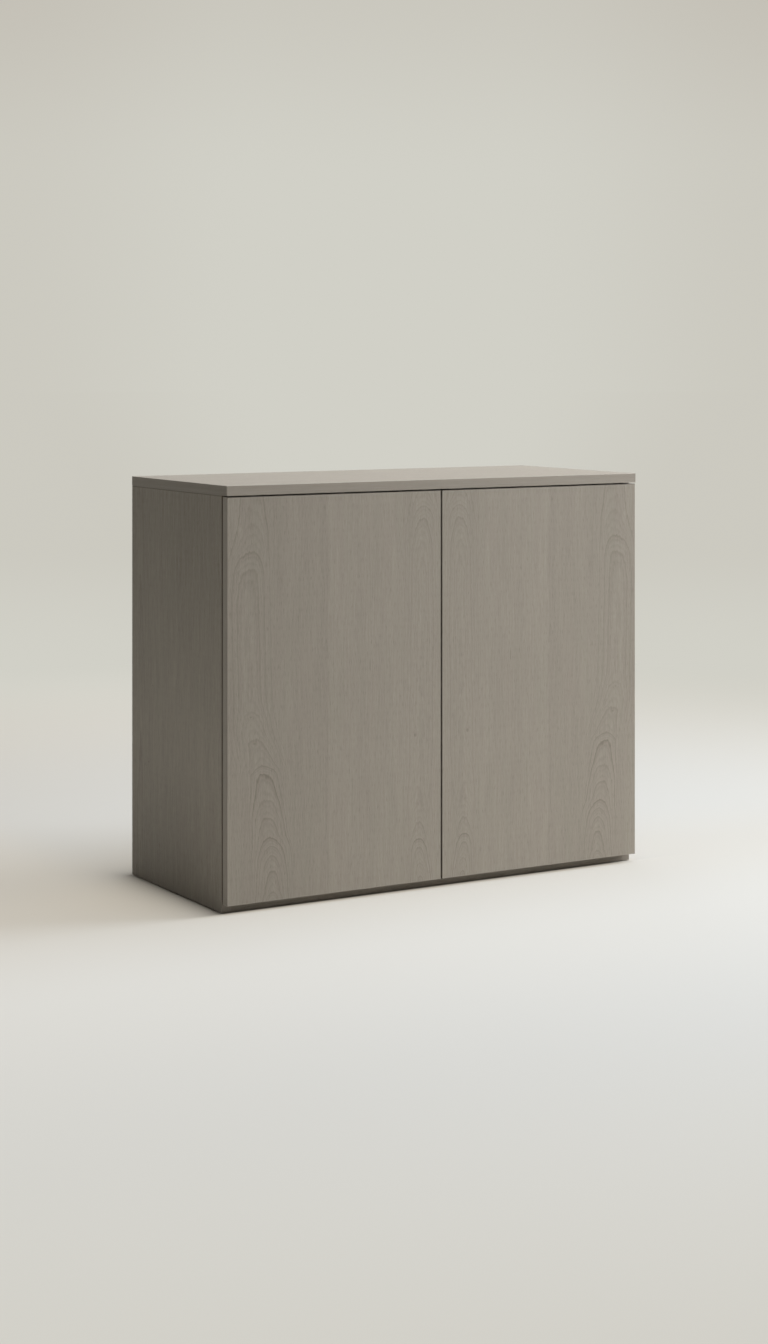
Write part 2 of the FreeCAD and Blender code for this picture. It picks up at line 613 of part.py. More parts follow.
def latch_housing():
    """Moulded body under the top, bored for the plunger, with a screw ear each side."""
    front = CARCASS_FRONT + LATCH_SETBACK
    low = (-LATCH_AXIS_OFFSET - LATCH_WIDTH / 2, front, TOP_UNDERSIDE - LATCH_HEIGHT)
    high = (-LATCH_AXIS_OFFSET + LATCH_WIDTH / 2, front + LATCH_LENGTH, TOP_UNDERSIDE)
    body = box(low, high)
    long_edges = [edge for edge in body.Edges
                  if abs(edge.Length - LATCH_LENGTH) < 1e-6
                  and abs(edge.Vertexes[0].Point.z - low[2]) < 1e-6]
    body = body.makeFillet(LATCH_ROUND, long_edges)
    middle = front + LATCH_LENGTH / 2
    ears = box((low[0] - LATCH_EAR_REACH, middle - LATCH_EAR_LENGTH / 2,
                TOP_UNDERSIDE - LATCH_EAR_THICKNESS),
               (high[0] + LATCH_EAR_REACH, middle + LATCH_EAR_LENGTH / 2, TOP_UNDERSIDE))
    bore_length = PLUNGER_TAIL + HOLE_SPARE
    bore = Part.makeCylinder(PLUNGER_RADIUS + PLUNGER_PLAY, bore_length,
                             latch_axis_point(front), Y_AXIS)
    holes = [screw_hole(seat, Z_AXIS, SCREW_LENGTH) for seat in latch_screw_seats()]
    return without(fused([body, ears]), [bore] + holes)


def latch_plunger():
    """Round plunger with a magnet disc at its tip, pushed home by the closed door."""
    tip = DOOR_INNER_FACE + STRIKE_THICKNESS + PLUNGER_TIP_GAP
    rod_end = CARCASS_FRONT + LATCH_SETBACK + PLUNGER_TAIL
    shaft = Part.makeCylinder(PLUNGER_RADIUS, rod_end - tip, latch_axis_point(tip), Y_AXIS)
    magnet = Part.makeCylinder(MAGNET_RADIUS, MAGNET_THICKNESS, latch_axis_point(tip), Y_AXIS)
    return fused([shaft, magnet])


def strike_plate():
    """Steel plate on the door's inner face that the magnet holds."""
    centre = latch_axis_point(DOOR_INNER_FACE)
    plate = box((centre.x - STRIKE_HALF_WIDTH, centre.y, centre.z - STRIKE_BELOW),
                (centre.x + STRIKE_HALF_WIDTH, centre.y + STRIKE_THICKNESS,
                 centre.z + STRIKE_ABOVE))
    corners = [edge for edge in plate.Edges if abs(edge.Length - STRIKE_THICKNESS) < 1e-6]
    plate = plate.makeFillet(STRIKE_ROUND, corners)
    return without(plate, [screw_hole(strike_screw_seat(), Y_AXIS * -1, SCREW_LENGTH)])


def build_latches():
    """A push latch under the top for each door, and its strike plate on the door."""
    export("latch_housings", *both_sides([latch_housing()]))
    latch_screws = [screw(seat, Z_AXIS, SCREW_LENGTH) for seat in latch_screw_seats()]
    export("latch_screws", *both_sides(latch_screws))
    strike_screw = screw(strike_screw_seat(), Y_AXIS * -1, SCREW_LENGTH)
    pieces = {"latch_plunger": latch_plunger(), "strike_plate": strike_plate(),
              "strike_screw": strike_screw}
    for node, shape in pieces.items():
        export(f"left_{node}", shape)
        export(f"right_{node}", mirrored(shape))


# ------------------------------------------------------------ board joints
def cam_joint(seat, into_edge, into_face, cam_face):
    """Cam lock, bolt and the holes they need.

    seat is the point where the two boards meet on the bolt's axis, into_edge runs
    from there into the cammed board, into_face into the other, and cam_face runs
    from the cam's open face into the board's thickness, as a vector whose length
    is the distance from the bolt's axis to that face.
    """
    open_face = seat + into_edge * CAM_DISTANCE - cam_face
    inwards = Vector(cam_face).normalize()
    cam = Part.makeCylinder(CAM_RADIUS, CAM_DEPTH, open_face, inwards)
    across = into_edge.cross(inwards)
    slots = []
    for direction, other in ((into_edge, across), (across, into_edge)):
        length, width = direction * CAM_SLOT_LENGTH, other * CAM_SLOT
        corner = open_face - (length + width) * 0.5
        points = [corner, corner + length, corner + length + width, corner + width]
        face = Part.Face(Part.makePolygon(points + points[:1]))
        slots.append(face.extrude(inwards * CAM_SLOT_DEPTH))
    bolt_reach = CAM_DISTANCE - BOLT_SHORT
    bolt_hole = Part.makeCylinder(BOLT_RADIUS + BOLT_PLAY, bolt_reach + BOLT_RADIUS,
                                  seat, into_edge)
    cam = without(cam, slots + [bolt_hole])
    shank = Part.makeCylinder(BOLT_RADIUS, bolt_reach - BOLT_NECK, seat, into_edge)
    neck = Part.makeCylinder(BOLT_NECK_RADIUS, BOLT_NECK,
                             seat + into_edge * (bolt_reach - BOLT_NECK), into_edge)
    thread = Part.makeCylinder(BOLT_RADIUS, BOLT_THREAD, seat, into_face)
    bolt = fused([shank, neck, thread])
    cam_hole = Part.makeCylinder(CAM_RADIUS + CAM_PLAY, CAM_DEPTH + CAM_PLAY, open_face, inwards)
    face_hole = Part.makeCylinder(BOLT_RADIUS + CAM_PLAY, BOLT_THREAD + HOLE_SPARE, seat, into_face)
    return cam, bolt, [cam_hole, bolt_hole], [face_hole]


def dowel_joint(seat, into_edge, into_face):
    """Dowel and the holes it needs in the edge and in the face."""
    start = seat + into_face * DOWEL_IN_FACE
    dowel = Part.makeCylinder(DOWEL_RADIUS, DOWEL_LENGTH, start, into_edge)
    ends = [edge for edge in dowel.Edges if isinstance(edge.Curve, Part.Circle)]
    dowel = dowel.makeChamfer(DOWEL_BEVEL, ends)
    edge_hole = Part.makeCylinder(DOWEL_RADIUS + DOWEL_PLAY,
                                  DOWEL_LENGTH - DOWEL_IN_FACE + HOLE_SPARE, seat, into_edge)
    face_hole = Part.makeCylinder(DOWEL_RADIUS + DOWEL_PLAY, DOWEL_IN_FACE + HOLE_SPARE,
                                  seat, into_face)
    return dowel, [edge_hole], [face_hole]


def board_joints():
    """Knock-down joints of the left side panel, top and bottom.

    Returns the hardware and the holes for each board, all on the left-hand side.
    """
    hardware = {"cam_locks": [], "cam_bolts": [], "dowels": []}
    holes = {"side": [], "top": [], "bottom": []}
    top_seat_x = -HALF_WIDTH + SIDE_THICKNESS / 2
    bottom_seat_z = PLINTH_HEIGHT + BOTTOM_THICKNESS / 2
    for place in CAM_ROWS:
        towards_middle = math.copysign(DOWEL_CAM_DISTANCE, -place)
        places = ((place, True), (place + towards_middle, False))
        for joint_y, is_cam in places:
            joints = (
                (Vector(top_seat_x, joint_y, TOP_UNDERSIDE), Z_AXIS * -1, Z_AXIS,
                 X_AXIS * (-SIDE_THICKNESS / 2), "side", "top"),
                (Vector(-INNER_HALF_WIDTH, joint_y, bottom_seat_z), X_AXIS, X_AXIS * -1,
                 Z_AXIS * (BOTTOM_THICKNESS / 2), "bottom", "side"),
            )
            for seat, into_edge, into_face, cam_face, edge_board, face_board in joints:
                if is_cam:
                    cam, bolt, edge_holes, face_holes = cam_joint(seat, into_edge, into_face,
                                                                  cam_face)
                    hardware["cam_locks"].append(cam)
                    hardware["cam_bolts"].append(bolt)
                else:
                    dowel, edge_holes, face_holes = dowel_joint(seat, into_edge, into_face)
                    hardware["dowels"].append(dowel)
                holes[edge_board] += edge_holes
                holes[face_board] += face_holes
    return hardware, holes


# ----------------------------------------------------------------- carcass
def back_panel_box(play):
    """The back panel in its grooves, or with play the space that the grooves leave it."""
    reach = GROOVE_DEPTH - GROOVE_END_PLAY * (not play)
    return box((-INNER_HALF_WIDTH - reach, BACK_PANEL_FRONT - play, PLINTH_HEIGHT - play),
               (INNER_HALF_WIDTH + reach, BACK_PANEL_REAR + play, TOP_UNDERSIDE + reach))


def back_screw_seats():
    """Undersides of the screw heads on the back panel, along the bottom panel's edge."""
    spacing = 2 * INNER_HALF_WIDTH / BACK_SCREW_COUNT
    height = PLINTH_HEIGHT + BOTTOM_THICKNESS / 2
    return [Vector(-INNER_HALF_WIDTH + spacing * (place + 0.5), BACK_PANEL_REAR, height)
            for place in range(BACK_SCREW_COUNT)]


def foot_places():
    """Plan places of the four feet, in the order of FOOT_NAMES."""
    return [(side * FOOT_X, row) for row in FOOT_ROWS for side in (-1, 1)]


def peg_holes():
    """Rows of peg holes in the left side panel's inner face."""
    steps = range(-HOLES_EACH_WAY, HOLES_EACH_WAY + 1)
    return [rod((-INNER_HALF_WIDTH, row, PEG_HEIGHT + HOLE_PITCH * step), X_AXIS * -1,
                HOLE_RADIUS, HOLE_DEPTH) for row in HOLE_ROWS for step in steps]


def build_carcass():
    """Top, sides, bottom, back and plinths, with the hardware that joins them."""
    hardware, joint_holes = board_joints()
    for node, shapes in hardware.items():
        export(node, *both_sides(shapes))
    groove = back_panel_box(GROOVE_PLAY)
    back_holes = [screw_hole(seat, Y_AXIS * -1, BACK_SCREW_LENGTH) for seat in back_screw_seats()]

    top, top_bands = banded_board((-HALF_WIDTH, FRONT, TOP_UNDERSIDE), (HALF_WIDTH, BACK, HEIGHT),
                                  [(1, 0), (1, 1), (0, 0), (0, 1)])
    latch_holes = [screw_hole(seat, Z_AXIS, SCREW_LENGTH) for seat in latch_screw_seats()]
    top_holes = both_sides(joint_holes["top"] + latch_holes)
    export("top_panel", without(top, top_holes + [groove]))
    export("top_edge_bands", *top_bands)

    side, side_bands = banded_board((-HALF_WIDTH, CARCASS_FRONT, FLOOR_GAP),
                                    (-INNER_HALF_WIDTH, BACK, TOP_UNDERSIDE),
                                    [(1, 0), (1, 1), (2, 0)])
    hinge_holes = at_hinges(plate_screw_holes())
    side = without(side, joint_holes["side"] + peg_holes() + hinge_holes + [groove])
    export("left_side_panel", side)
    export("left_side_edge_bands", *side_bands)
    export("right_side_panel", mirrored(side))
    export("right_side_edge_bands", *[mirrored(band) for band in side_bands])

    bottom, bottom_bands = banded_board((-INNER_HALF_WIDTH, CARCASS_FRONT, PLINTH_HEIGHT),
                                        (INNER_HALF_WIDTH, BACK_PANEL_FRONT, BOTTOM_TOP), [(1, 0)])
    access_holes = [access_hole(x, y) for x, y in foot_places()]
    bracket_holes = [screw_hole(seat, Z_AXIS, SCREW_LENGTH) for x, y in foot_places()
                     for seat in bracket_screw_seats(x, y)]
    bottom_holes = both_sides(joint_holes["bottom"]) + access_holes + bracket_holes + back_holes
    export("bottom_panel", without(bottom, bottom_holes))
    export("bottom_edge_band", *bottom_bands)

    export("back_panel", without(back_panel_box(0.0), back_holes))
    export("back_screws", *[screw(seat, Y_AXIS * -1, BACK_SCREW_LENGTH)
                            for seat in back_screw_seats()])

    for node, front in (("front_plinth", CARCASS_FRONT),
                        ("rear_plinth", BACK_PANEL_FRONT - PLINTH_THICKNESS)):
        export(node, box((-INNER_HALF_WIDTH, front, FLOOR_GAP),
                         (INNER_HALF_WIDTH, front + PLINTH_THICKNESS, PLINTH_HEIGHT)))


# ------------------------------------------------------------------- shelf
def shelf_support():
    """Support at the left front: a peg in the side panel and a gusseted rest."""
    row = HOLE_ROWS[0]
    face = -INNER_HALF_WIDTH
    peg = rod((face, row, PEG_HEIGHT), X_AXIS * -1, HOLE_RADIUS - PEG_PLAY, PEG_LENGTH)
    profile = [(face, SHELF_UNDERSIDE), (face + REST_REACH, SHELF_UNDERSIDE),
               (face + REST_REACH, SHELF_UNDERSIDE - REST_WALL),
               (face + REST_WALL, SHELF_UNDERSIDE - REST_DROP), (face, SHELF_UNDERSIDE - REST_DROP)]
    corners = [Vector(x, row - REST_WIDTH / 2, z) for x, z in profile]
    rest = Part.Face(Part.makePolygon(corners + corners[:1])).extrude(Y_AXIS * REST_WIDTH)
    hollow_width = (REST_WIDTH - REST_WALL) / 2
    hollows = [box((face + REST_WALL, row - side_low - hollow_width, SHELF_UNDERSIDE - REST_DROP),
                   (face + REST_REACH, row - side_low, SHELF_UNDERSIDE - REST_WALL))
               for side_low in (REST_WALL / 2, -REST_WALL / 2 - hollow_width)]
    return fused([without(rest, hollows), peg])


def build_shelf():
    """Loose shelf and the four supports that it lies on."""
    half_width = INNER_HALF_WIDTH - SHELF_SIDE_GAP
    shelf, bands = banded_board(
        (-half_width, CARCASS_FRONT + SHELF_FRONT_INSET, SHELF_UNDERSIDE),
        (half_width, BACK_PANEL_FRONT - SHELF_BACK_GAP, SHELF_UNDERSIDE + SHELF_THICKNESS),
        [(1, 0), (1, 1), (0, 0), (0, 1)])
    export("shelf", shelf)
    export("shelf_edge_bands", *bands)
    front = shelf_support()
    rear = front.translated(Y_AXIS * (HOLE_ROWS[1] - HOLE_ROWS[0]))
    export("shelf_supports", *both_sides([front, rear]))


# ------------------------------------------------------------------- doors
def build_doors():
    """Two slab doors, edge-banded all round, bored for hinges and strike plates."""
    low = (-HALF_WIDTH + DOOR_SIDE_INSET, FRONT, DOOR_FLOOR_GAP)
    high = (-DOOR_MIDDLE_GAP / 2, DOOR_INNER_FACE, DOOR_TOP)
    door, bands = banded_board(low, high, [(0, 0), (0, 1), (2, 0), (2, 1)])
    cup_bore = rod((CUP_CENTRE, -CUP_DEPTH - CUP_BORE_PLAY, 0), Y_AXIS,
                   CUP_RADIUS + CUP_BORE_PLAY, CUP_DEPTH + CUP_BORE_PLAY)
    cup_holes = [screw_hole(seat, Y_AXIS * -1, SCREW_LENGTH) for seat in cup_screw_seats()]
    holes = at_hinges([cup_bore] + cup_holes)
    holes.append(screw_hole(strike_screw_seat(), Y_AXIS * -1, SCREW_LENGTH))
    door = without(door, holes)
    export("left_door_panel", door)
    export("left_door_edge_bands", *bands)
    export("right_door_panel", mirrored(door))
    export("right_door_edge_bands", *[mirrored(band) for band in bands])


# -------------------------------------------------------------------- feet
def foot_pad(x, y):
    """Moulded foot: a low cone with a socket for the spindle's end."""
    profile = [(0, 0), (PAD_RADIUS - PAD_BEVEL, 0), (PAD_RADIUS, PAD_BEVEL),
               (PAD_RADIUS, PAD_EDGE), (PAD_NECK_RADIUS, PAD_NECK_START),
               (PAD_NECK_RADIUS, PAD_HEIGHT), (0, PAD_HEIGHT)]
    corners = [Vector(x + radius, y, height) for radius, height in profile]
    section = Part.Face(Part.makePolygon(corners + corners[:1]))
    body = section.revolve(Vector(x, y, 0), Z_AXIS, 360)
    socket = rod((x, y, SPINDLE_SEAT), Z_AXIS, SPINDLE_END_RADIUS + SPINDLE_END_PLAY, PAD_HEIGHT)
    return without(body, [socket])


def foot_spindle(x, y):
    """Threaded spindle with a plain end in the pad and a key socket on top."""
    end = rod((x, y, SPINDLE_SEAT + SPINDLE_END_PLAY), Z_AXIS, SPINDLE_END_RADIUS, PAD_HEIGHT)
    shaft_bottom = PAD_HEIGHT + SPINDLE_PAD_GAP
    shaft = rod((x, y, shaft_bottom), Z_AXIS, SPINDLE_RADIUS, SPINDLE_TOP - shaft_bottom)
    corner_radius = KEY_SOCKET / math.sqrt(3)
    hexagon = [(x + corner_radius * math.cos(math.radians(60 * corner)),
                y + corner_radius * math.sin(math.radians(60 * corner))) for corner in range(6)]
    key = prism(hexagon, SPINDLE_TOP - KEY_DEPTH, SPINDLE_TOP)
    return without(fused([end, shaft]), [key])


def foot_bracket(x, y):
    """Moulded corner bracket under the bottom panel: two flanges, a boss and a rib."""
    side = math.copysign(1.0, x)
    wall_x = side * INNER_HALF_WIDTH
    inner_x = wall_x - side * BRACKET_SIZE
    low_x, high_x = min(wall_x, inner_x), max(wall_x, inner_x)
    low_y, high_y = y - BRACKET_SIZE / 2, y + BRACKET_SIZE / 2
    bottom = PLINTH_HEIGHT - BRACKET_HEIGHT
    ceiling = box((low_x, low_y, PLINTH_HEIGHT - BRACKET_WALL), (high_x, high_y, PLINTH_HEIGHT))
    upright_x = sorted((wall_x, wall_x - side * BRACKET_WALL))
    upright = box((upright_x[0], low_y, bottom), (upright_x[1], high_y, PLINTH_HEIGHT))
    boss = rod((x, y, bottom), Z_AXIS, BRACKET_BOSS_RADIUS, BRACKET_HEIGHT)
    rib_x = sorted((x, wall_x))
    rib = box((rib_x[0], y - BRACKET_WALL / 2, bottom), (rib_x[1], y + BRACKET_WALL / 2,
                                                        PLINTH_HEIGHT))
    bore = rod((x, y, bottom), Z_AXIS, SPINDLE_RADIUS + SPINDLE_PLAY, BRACKET_HEIGHT)
    holes = [screw_hole(seat, Z_AXIS, SCREW_LENGTH) for seat in bracket_screw_seats(x, y)]
    return without(fused([ceiling, upright, boss, rib]), [bore] + holes)


def bracket_screw_seats(x, y):
    """Undersides of the bracket's two screw heads, below its upper flange."""
    side = math.copysign(1.0, x)
    screw_x = side * (INNER_HALF_WIDTH - BRACKET_SIZE + BRACKET_SCREW_EDGE)
    reach = BRACKET_SIZE / 2 - BRACKET_SCREW_EDGE
    return [Vector(screw_x, y + offset, PLINTH_HEIGHT - BRACKET_WALL)
            for offset in (-reach, reach)]


def access_cap(x, y):
    """Push-in cap in the key hole above a foot, its head let in flush."""
    head = rod((x, y, BOTTOM_TOP - CAP_THICKNESS), Z_AXIS, CAP_RADIUS, CAP_THICKNESS)
    stem = rod((x, y, BOTTOM_TOP - CAP_STEM), Z_AXIS, ACCESS_RADIUS - CAP_PLAY, CAP_STEM)
    return fused([head, stem])


def access_hole(x, y):
    """Stepped hole through the bottom panel for the key and its cap."""
    through = rod((x, y, PLINTH_HEIGHT), Z_AXIS, ACCESS_RADIUS, BOTTOM_THICKNESS)
    recess = rod((x, y, BOTTOM_TOP - CAP_THICKNESS), Z_AXIS, CAP_RADIUS + CAP_PLAY, CAP_THICKNESS)
    return fused([through, recess])


def build_feet():
    """Four levelling feet, each a pad and a spindle in a bracket, adjusted from above."""
    brackets, caps, screws = [], [], []
    for name, (x, y) in zip(FOOT_NAMES, foot_places()):
        export(f"{name}_foot_pad", foot_pad(x, y))
        export(f"{name}_foot_spindle", foot_spindle(x, y))
        brackets.append(foot_bracket(x, y))
        caps.append(access_cap(x, y))
        screws += [screw(seat, Z_AXIS, SCREW_LENGTH) for seat in bracket_screw_seats(x, y)]
    export("foot_brackets", *brackets)
    export("foot_bracket_screws", *screws)
    export("access_caps", *caps)


os.makedirs("parts", exist_ok=True)
build_carcass()
build_shelf()
build_doors()
build_hinges()
build_latches()
build_feet()
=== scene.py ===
"""Studio scene of an office credenza: its finishes, fine hardware, lights and camera.

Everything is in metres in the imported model's own frame: the floor is at z = 0, the doors
face -Y, and the middle of the footprint is the origin.
"""
from __future__ import annotations

import json
import logging
import math
from dataclasses import dataclass
from enum import Enum

import bmesh
import bpy
import numpy as np
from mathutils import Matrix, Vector

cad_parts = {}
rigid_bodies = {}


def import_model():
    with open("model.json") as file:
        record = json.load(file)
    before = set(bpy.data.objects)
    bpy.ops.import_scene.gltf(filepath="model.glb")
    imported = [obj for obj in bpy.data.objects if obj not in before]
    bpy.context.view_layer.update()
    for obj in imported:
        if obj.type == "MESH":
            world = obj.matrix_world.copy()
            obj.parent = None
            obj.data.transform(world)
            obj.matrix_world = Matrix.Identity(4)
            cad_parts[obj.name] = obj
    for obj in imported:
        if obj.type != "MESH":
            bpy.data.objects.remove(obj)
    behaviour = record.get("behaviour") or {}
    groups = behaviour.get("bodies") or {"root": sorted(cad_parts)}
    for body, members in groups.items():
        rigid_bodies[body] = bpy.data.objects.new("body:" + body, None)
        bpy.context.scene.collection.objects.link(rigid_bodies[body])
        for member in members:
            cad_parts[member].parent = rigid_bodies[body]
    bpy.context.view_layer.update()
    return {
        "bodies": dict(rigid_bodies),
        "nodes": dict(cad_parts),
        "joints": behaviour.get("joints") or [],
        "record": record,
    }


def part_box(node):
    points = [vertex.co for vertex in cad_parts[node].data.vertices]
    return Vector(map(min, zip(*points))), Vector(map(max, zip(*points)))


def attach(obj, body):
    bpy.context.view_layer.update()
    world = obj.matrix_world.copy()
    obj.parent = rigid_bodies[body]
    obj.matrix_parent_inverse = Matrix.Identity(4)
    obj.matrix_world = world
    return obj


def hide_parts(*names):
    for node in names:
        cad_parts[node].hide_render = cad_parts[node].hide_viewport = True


LOG = logging.getLogger("credenza")

FULL_TURN = 2.0 * math.pi
SAME_POINT = 0.000002           # points nearer than this are one
FLAT_BEND = math.radians(1)     # facets that bend less lie in one face
SMOOTH_BEND = math.radians(38)  # sharpest bend that is still shaded smooth
CROWDING = 64.0                 # how slowly rings crowd together away from a leaf's heart
HALF_WIDTH = 0.45               # of the footprint
HALF_DEPTH = 0.20

Colour = tuple[float, float, float]
Point = tuple[float, float, float]
Box = tuple[Vector, Vector]
Material = bpy.types.Material


class Axis(Enum):
    """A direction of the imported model's frame."""

    X = 0
    Y = 1
    Z = 2


def paint(red: int, green: int, blue: int) -> Colour:
    """Linear colour: channel c of 0 to 255 becomes ((c / 255 + 0.055) / 1.055) ** 2.4."""
    return tuple(((channel / 255 + 0.055) / 1.055) ** 2.4 for channel in (red, green, blue))


# ---- shader maths
class Signal:
    """A number that varies over a surface, held as one socket of a material's nodes."""

    def __init__(self, sheet: NodeSheet, socket: bpy.types.NodeSocket) -> None:
        """Wrap an output socket of the sheet."""
        self.sheet = sheet
        self.socket = socket

    def maths(self, operation: str, *others: Signal | float, clamp: bool = False) -> Signal:
        """Add a Math node that starts from this signal.

        Args:
            operation: The Math node's operation.
            others: The remaining inputs, in order.
            clamp: Keep the result between 0 and 1.

        Returns:
            The node's result.
        """
        sockets = dict(enumerate((self, *others)))
        settings = {"operation": operation, "use_clamp": clamp}
        return self.sheet.signal("ShaderNodeMath", settings, sockets)

    def __add__(self, other: Signal | float) -> Signal:
        """Sum."""
        return self.maths("ADD", other)

    __radd__ = __add__

    def __mul__(self, other: Signal | float) -> Signal:
        """Product."""
        return self.maths("MULTIPLY", other)

    __rmul__ = __mul__

    def __sub__(self, other: Signal | float) -> Signal:
        """Difference."""
        return self.maths("SUBTRACT", other)

    def __rsub__(self, other: float) -> Signal:
        """Difference from a plain number."""
        return (self * -1.0) + other

    def __truediv__(self, other: Signal | float) -> Signal:
        """Quotient."""
        return self.maths("DIVIDE", other)

    def __rtruediv__(self, other: float) -> Signal:
        """A plain number over this signal."""
        return self.maths("POWER", -1.0) * other

    def __pow__(self, power: float) -> Signal:
        """Power."""
        return self.maths("POWER", power)

    def __abs__(self) -> Signal:
        """Size without its sign."""
        return self.maths("ABSOLUTE")

    def whole(self) -> Signal:
        """Whole part."""
        return self.maths("FLOOR")

    def part(self) -> Signal:
        """Part after the whole number."""
        return self.maths("FRACT")

    def smallest(self, other: Signal | float) -> Signal:
        """The lesser of two."""
        return self.maths("MINIMUM", other)

    def largest(self, other: Signal | float) -> Signal:
        """The greater of two."""
        return self.maths("MAXIMUM", other)

    def clamped(self) -> Signal:
        """Kept between 0 and 1."""
        return self.maths("ADD", 0.0, clamp=True)

    def above(self, low: float, high: float) -> Signal:
        """Smooth rise, 3 t ** 2 - 2 t ** 3 with t the place between low and high.

        Args:
            low: Up to here the result is 0.
            high: From here on it is 1.

        Returns:
            The rise.
        """
        return self.sheet.signal(
            "ShaderNodeMapRange",
            {"interpolation_type": "SMOOTHSTEP"},
            {"Value": self, "From Min": low, "From Max": high, "To Min": 0.0, "To Max": 1.0},
        )

    def below(self, low: float, high: float) -> Signal:
        """1 up to low, 0 from high, with a smooth fall between them."""
        return 1.0 - self.above(low, high)

    def towards(self, other: Signal | float, share: Signal | float) -> Signal:
        """This signal where share is 0, the other where it is 1."""
        return self + (other - self) * share

    def curve(self, stops: tuple[tuple[float, float], ...]) -> Signal:
        """Read a smooth curve at this signal.

        Args:
            stops: Places on the curve and its values there, all of them 0 to 1.

        Returns:
            The curve's value.
        """
        ramp = [(place, (value, value, value)) for place, value in stops]
        settings = {"stops": ramp, "interpolation": "CARDINAL"}
        return self.sheet.signal("ShaderNodeValToRGB", settings, {"Fac": self})


SocketValue = Signal | float | tuple
Sockets = dict[int | str, SocketValue]


class NodeSheet:
    """The nodes of one material or of the world."""

    def __init__(self, owner: Material | bpy.types.World) -> None:
        """Start an empty sheet.

        Args:
            owner: The material or world that its nodes belong to.
        """
        owner.use_nodes = True
        self.tree = owner.node_tree
        self.tree.nodes.clear()

    def node(self, kind: str, settings: dict, sockets: Sockets) -> bpy.types.Node:
        """Add one node.

        Args:
            kind: The node's type.
            settings: Its own settings, set first; "stops" and "interpolation" are a ramp's.
            sockets: Input values or links, by name or number.

        Returns:
            The new node.
        """
        made = self.tree.nodes.new(kind)
        for name, value in settings.items():
            if name == "stops":
                self._place_stops(made.color_ramp, value)
            elif name == "interpolation":
                made.color_ramp.interpolation = value
            else:
                setattr(made, name, value)
        for key, value in sockets.items():
            if isinstance(value, Signal):
                self.tree.links.new(value.socket, made.inputs[key])
            else:
                self._set_plain(made.inputs[key], value)
        return made

    @staticmethod
    def _place_stops(ramp: bpy.types.ColorRamp, stops: list[tuple[float, Colour]]) -> None:
        """Give a ramp its stops.

        Args:
            ramp: The ramp.
            stops: The place and colour of each.
        """
        while len(ramp.elements) < len(stops):
            ramp.elements.new(1.0)
        for element, (place, colour) in zip(ramp.elements, stops):
            element.position = place
            element.color = (*colour, 1.0)

    @staticmethod
    def _set_plain(socket: bpy.types.NodeSocket, value: float | tuple) -> None:
        """Set a socket that nothing is linked to.

        Args:
            socket: The socket.
            value: Its number, place or colour.
        """
        if isinstance(value, tuple) and socket.type == "RGBA" and len(value) == 3:
            value = (*value, 1.0)
        socket.default_value = value

    def signal(self, kind: str, settings: dict, sockets: Sockets,
               output: int | str = 0) -> Signal:
        """Add a node and take one of its outputs."""
        return Signal(self, self.node(kind, settings, sockets).outputs[output])

    def place(self) -> tuple[Signal, Signal, Signal]:
        """Where a point lies on the piece.

        Returns:
            Its three object coordinates, in metres.
        """
        coordinates = self.signal("ShaderNodeTexCoord", {}, {}, "Object")
        parts = self.node("ShaderNodeSeparateXYZ", {}, {0: coordinates})
        return tuple(Signal(self, socket) for socket in parts.outputs)

    def noise(self, x: SocketValue, y: SocketValue, z: SocketValue, detail: float = 2.0,
              roughness: float = 0.5) -> Signal:
        """Cloudy noise, one cloud to each unit.

        Args:
            x: First of the three places that it is read at.
            y: Second place.
            z: Third place.
            detail: Number of finer layers.
            roughness: How strong each finer layer is beside the last.

        Returns:
            The noise, about -0.5 to 0.5.
        """
        at = self.signal("ShaderNodeCombineXYZ", {}, {0: x, 1: y, 2: z})
        sockets = {"Vector": at, "Scale": 1.0, "Detail": detail, "Roughness": roughness}
        return self.signal("ShaderNodeTexNoise", {}, sockets) - 0.5

    def clouds(self, count: float, detail: float, roughness: float,
               pull: list[float] | None = None) -> Signal:
        """Noise with this many clouds to the metre, fewer along an axis whose pull is under 1."""
        places = (place * factor * count for place, factor in zip(self.place(), pull or [1.0] * 3))
        return self.noise(*places, detail, roughness)

    def chance(self, number: Signal) -> Signal:
        """A steady random value from 0 to 1 for each whole number."""
        return self.signal("ShaderNodeTexWhiteNoise", {"noise_dimensions": "1D"}, {"W": number})

    def blend(self, share: SocketValue, first: SocketValue, second: SocketValue) -> Signal:
        """Colour mix: first where share is 0, second where it is 1."""
        settings = {"data_type": "RGBA", "blend_type": "MIX", "clamp_factor": True}
        return self.signal("ShaderNodeMix", settings, {0: share, 6: first, 7: second}, 2)

    def bumped(self, height: Signal, strength: float, distance: float) -> Signal:
        """Surface normal roughened by a height signal."""
        sockets = {"Height": height, "Strength": strength, "Distance": distance}
        return self.signal("ShaderNodeBump", {}, sockets)

    def surface(self, shader: Signal) -> None:
        """Send a shader to the material's output."""
        self.node("ShaderNodeOutputMaterial", {}, {"Surface": shader})

    def principled(self, sockets: Sockets) -> Signal:
        """The all-purpose shader with these inputs."""
        return self.signal("ShaderNodeBsdfPrincipled", {}, sockets)


def new_material(name: str) -> tuple[Material, NodeSheet]:
    """An empty material and its node sheet."""
    material = bpy.data.materials.new(name)
    return material, NodeSheet(material)


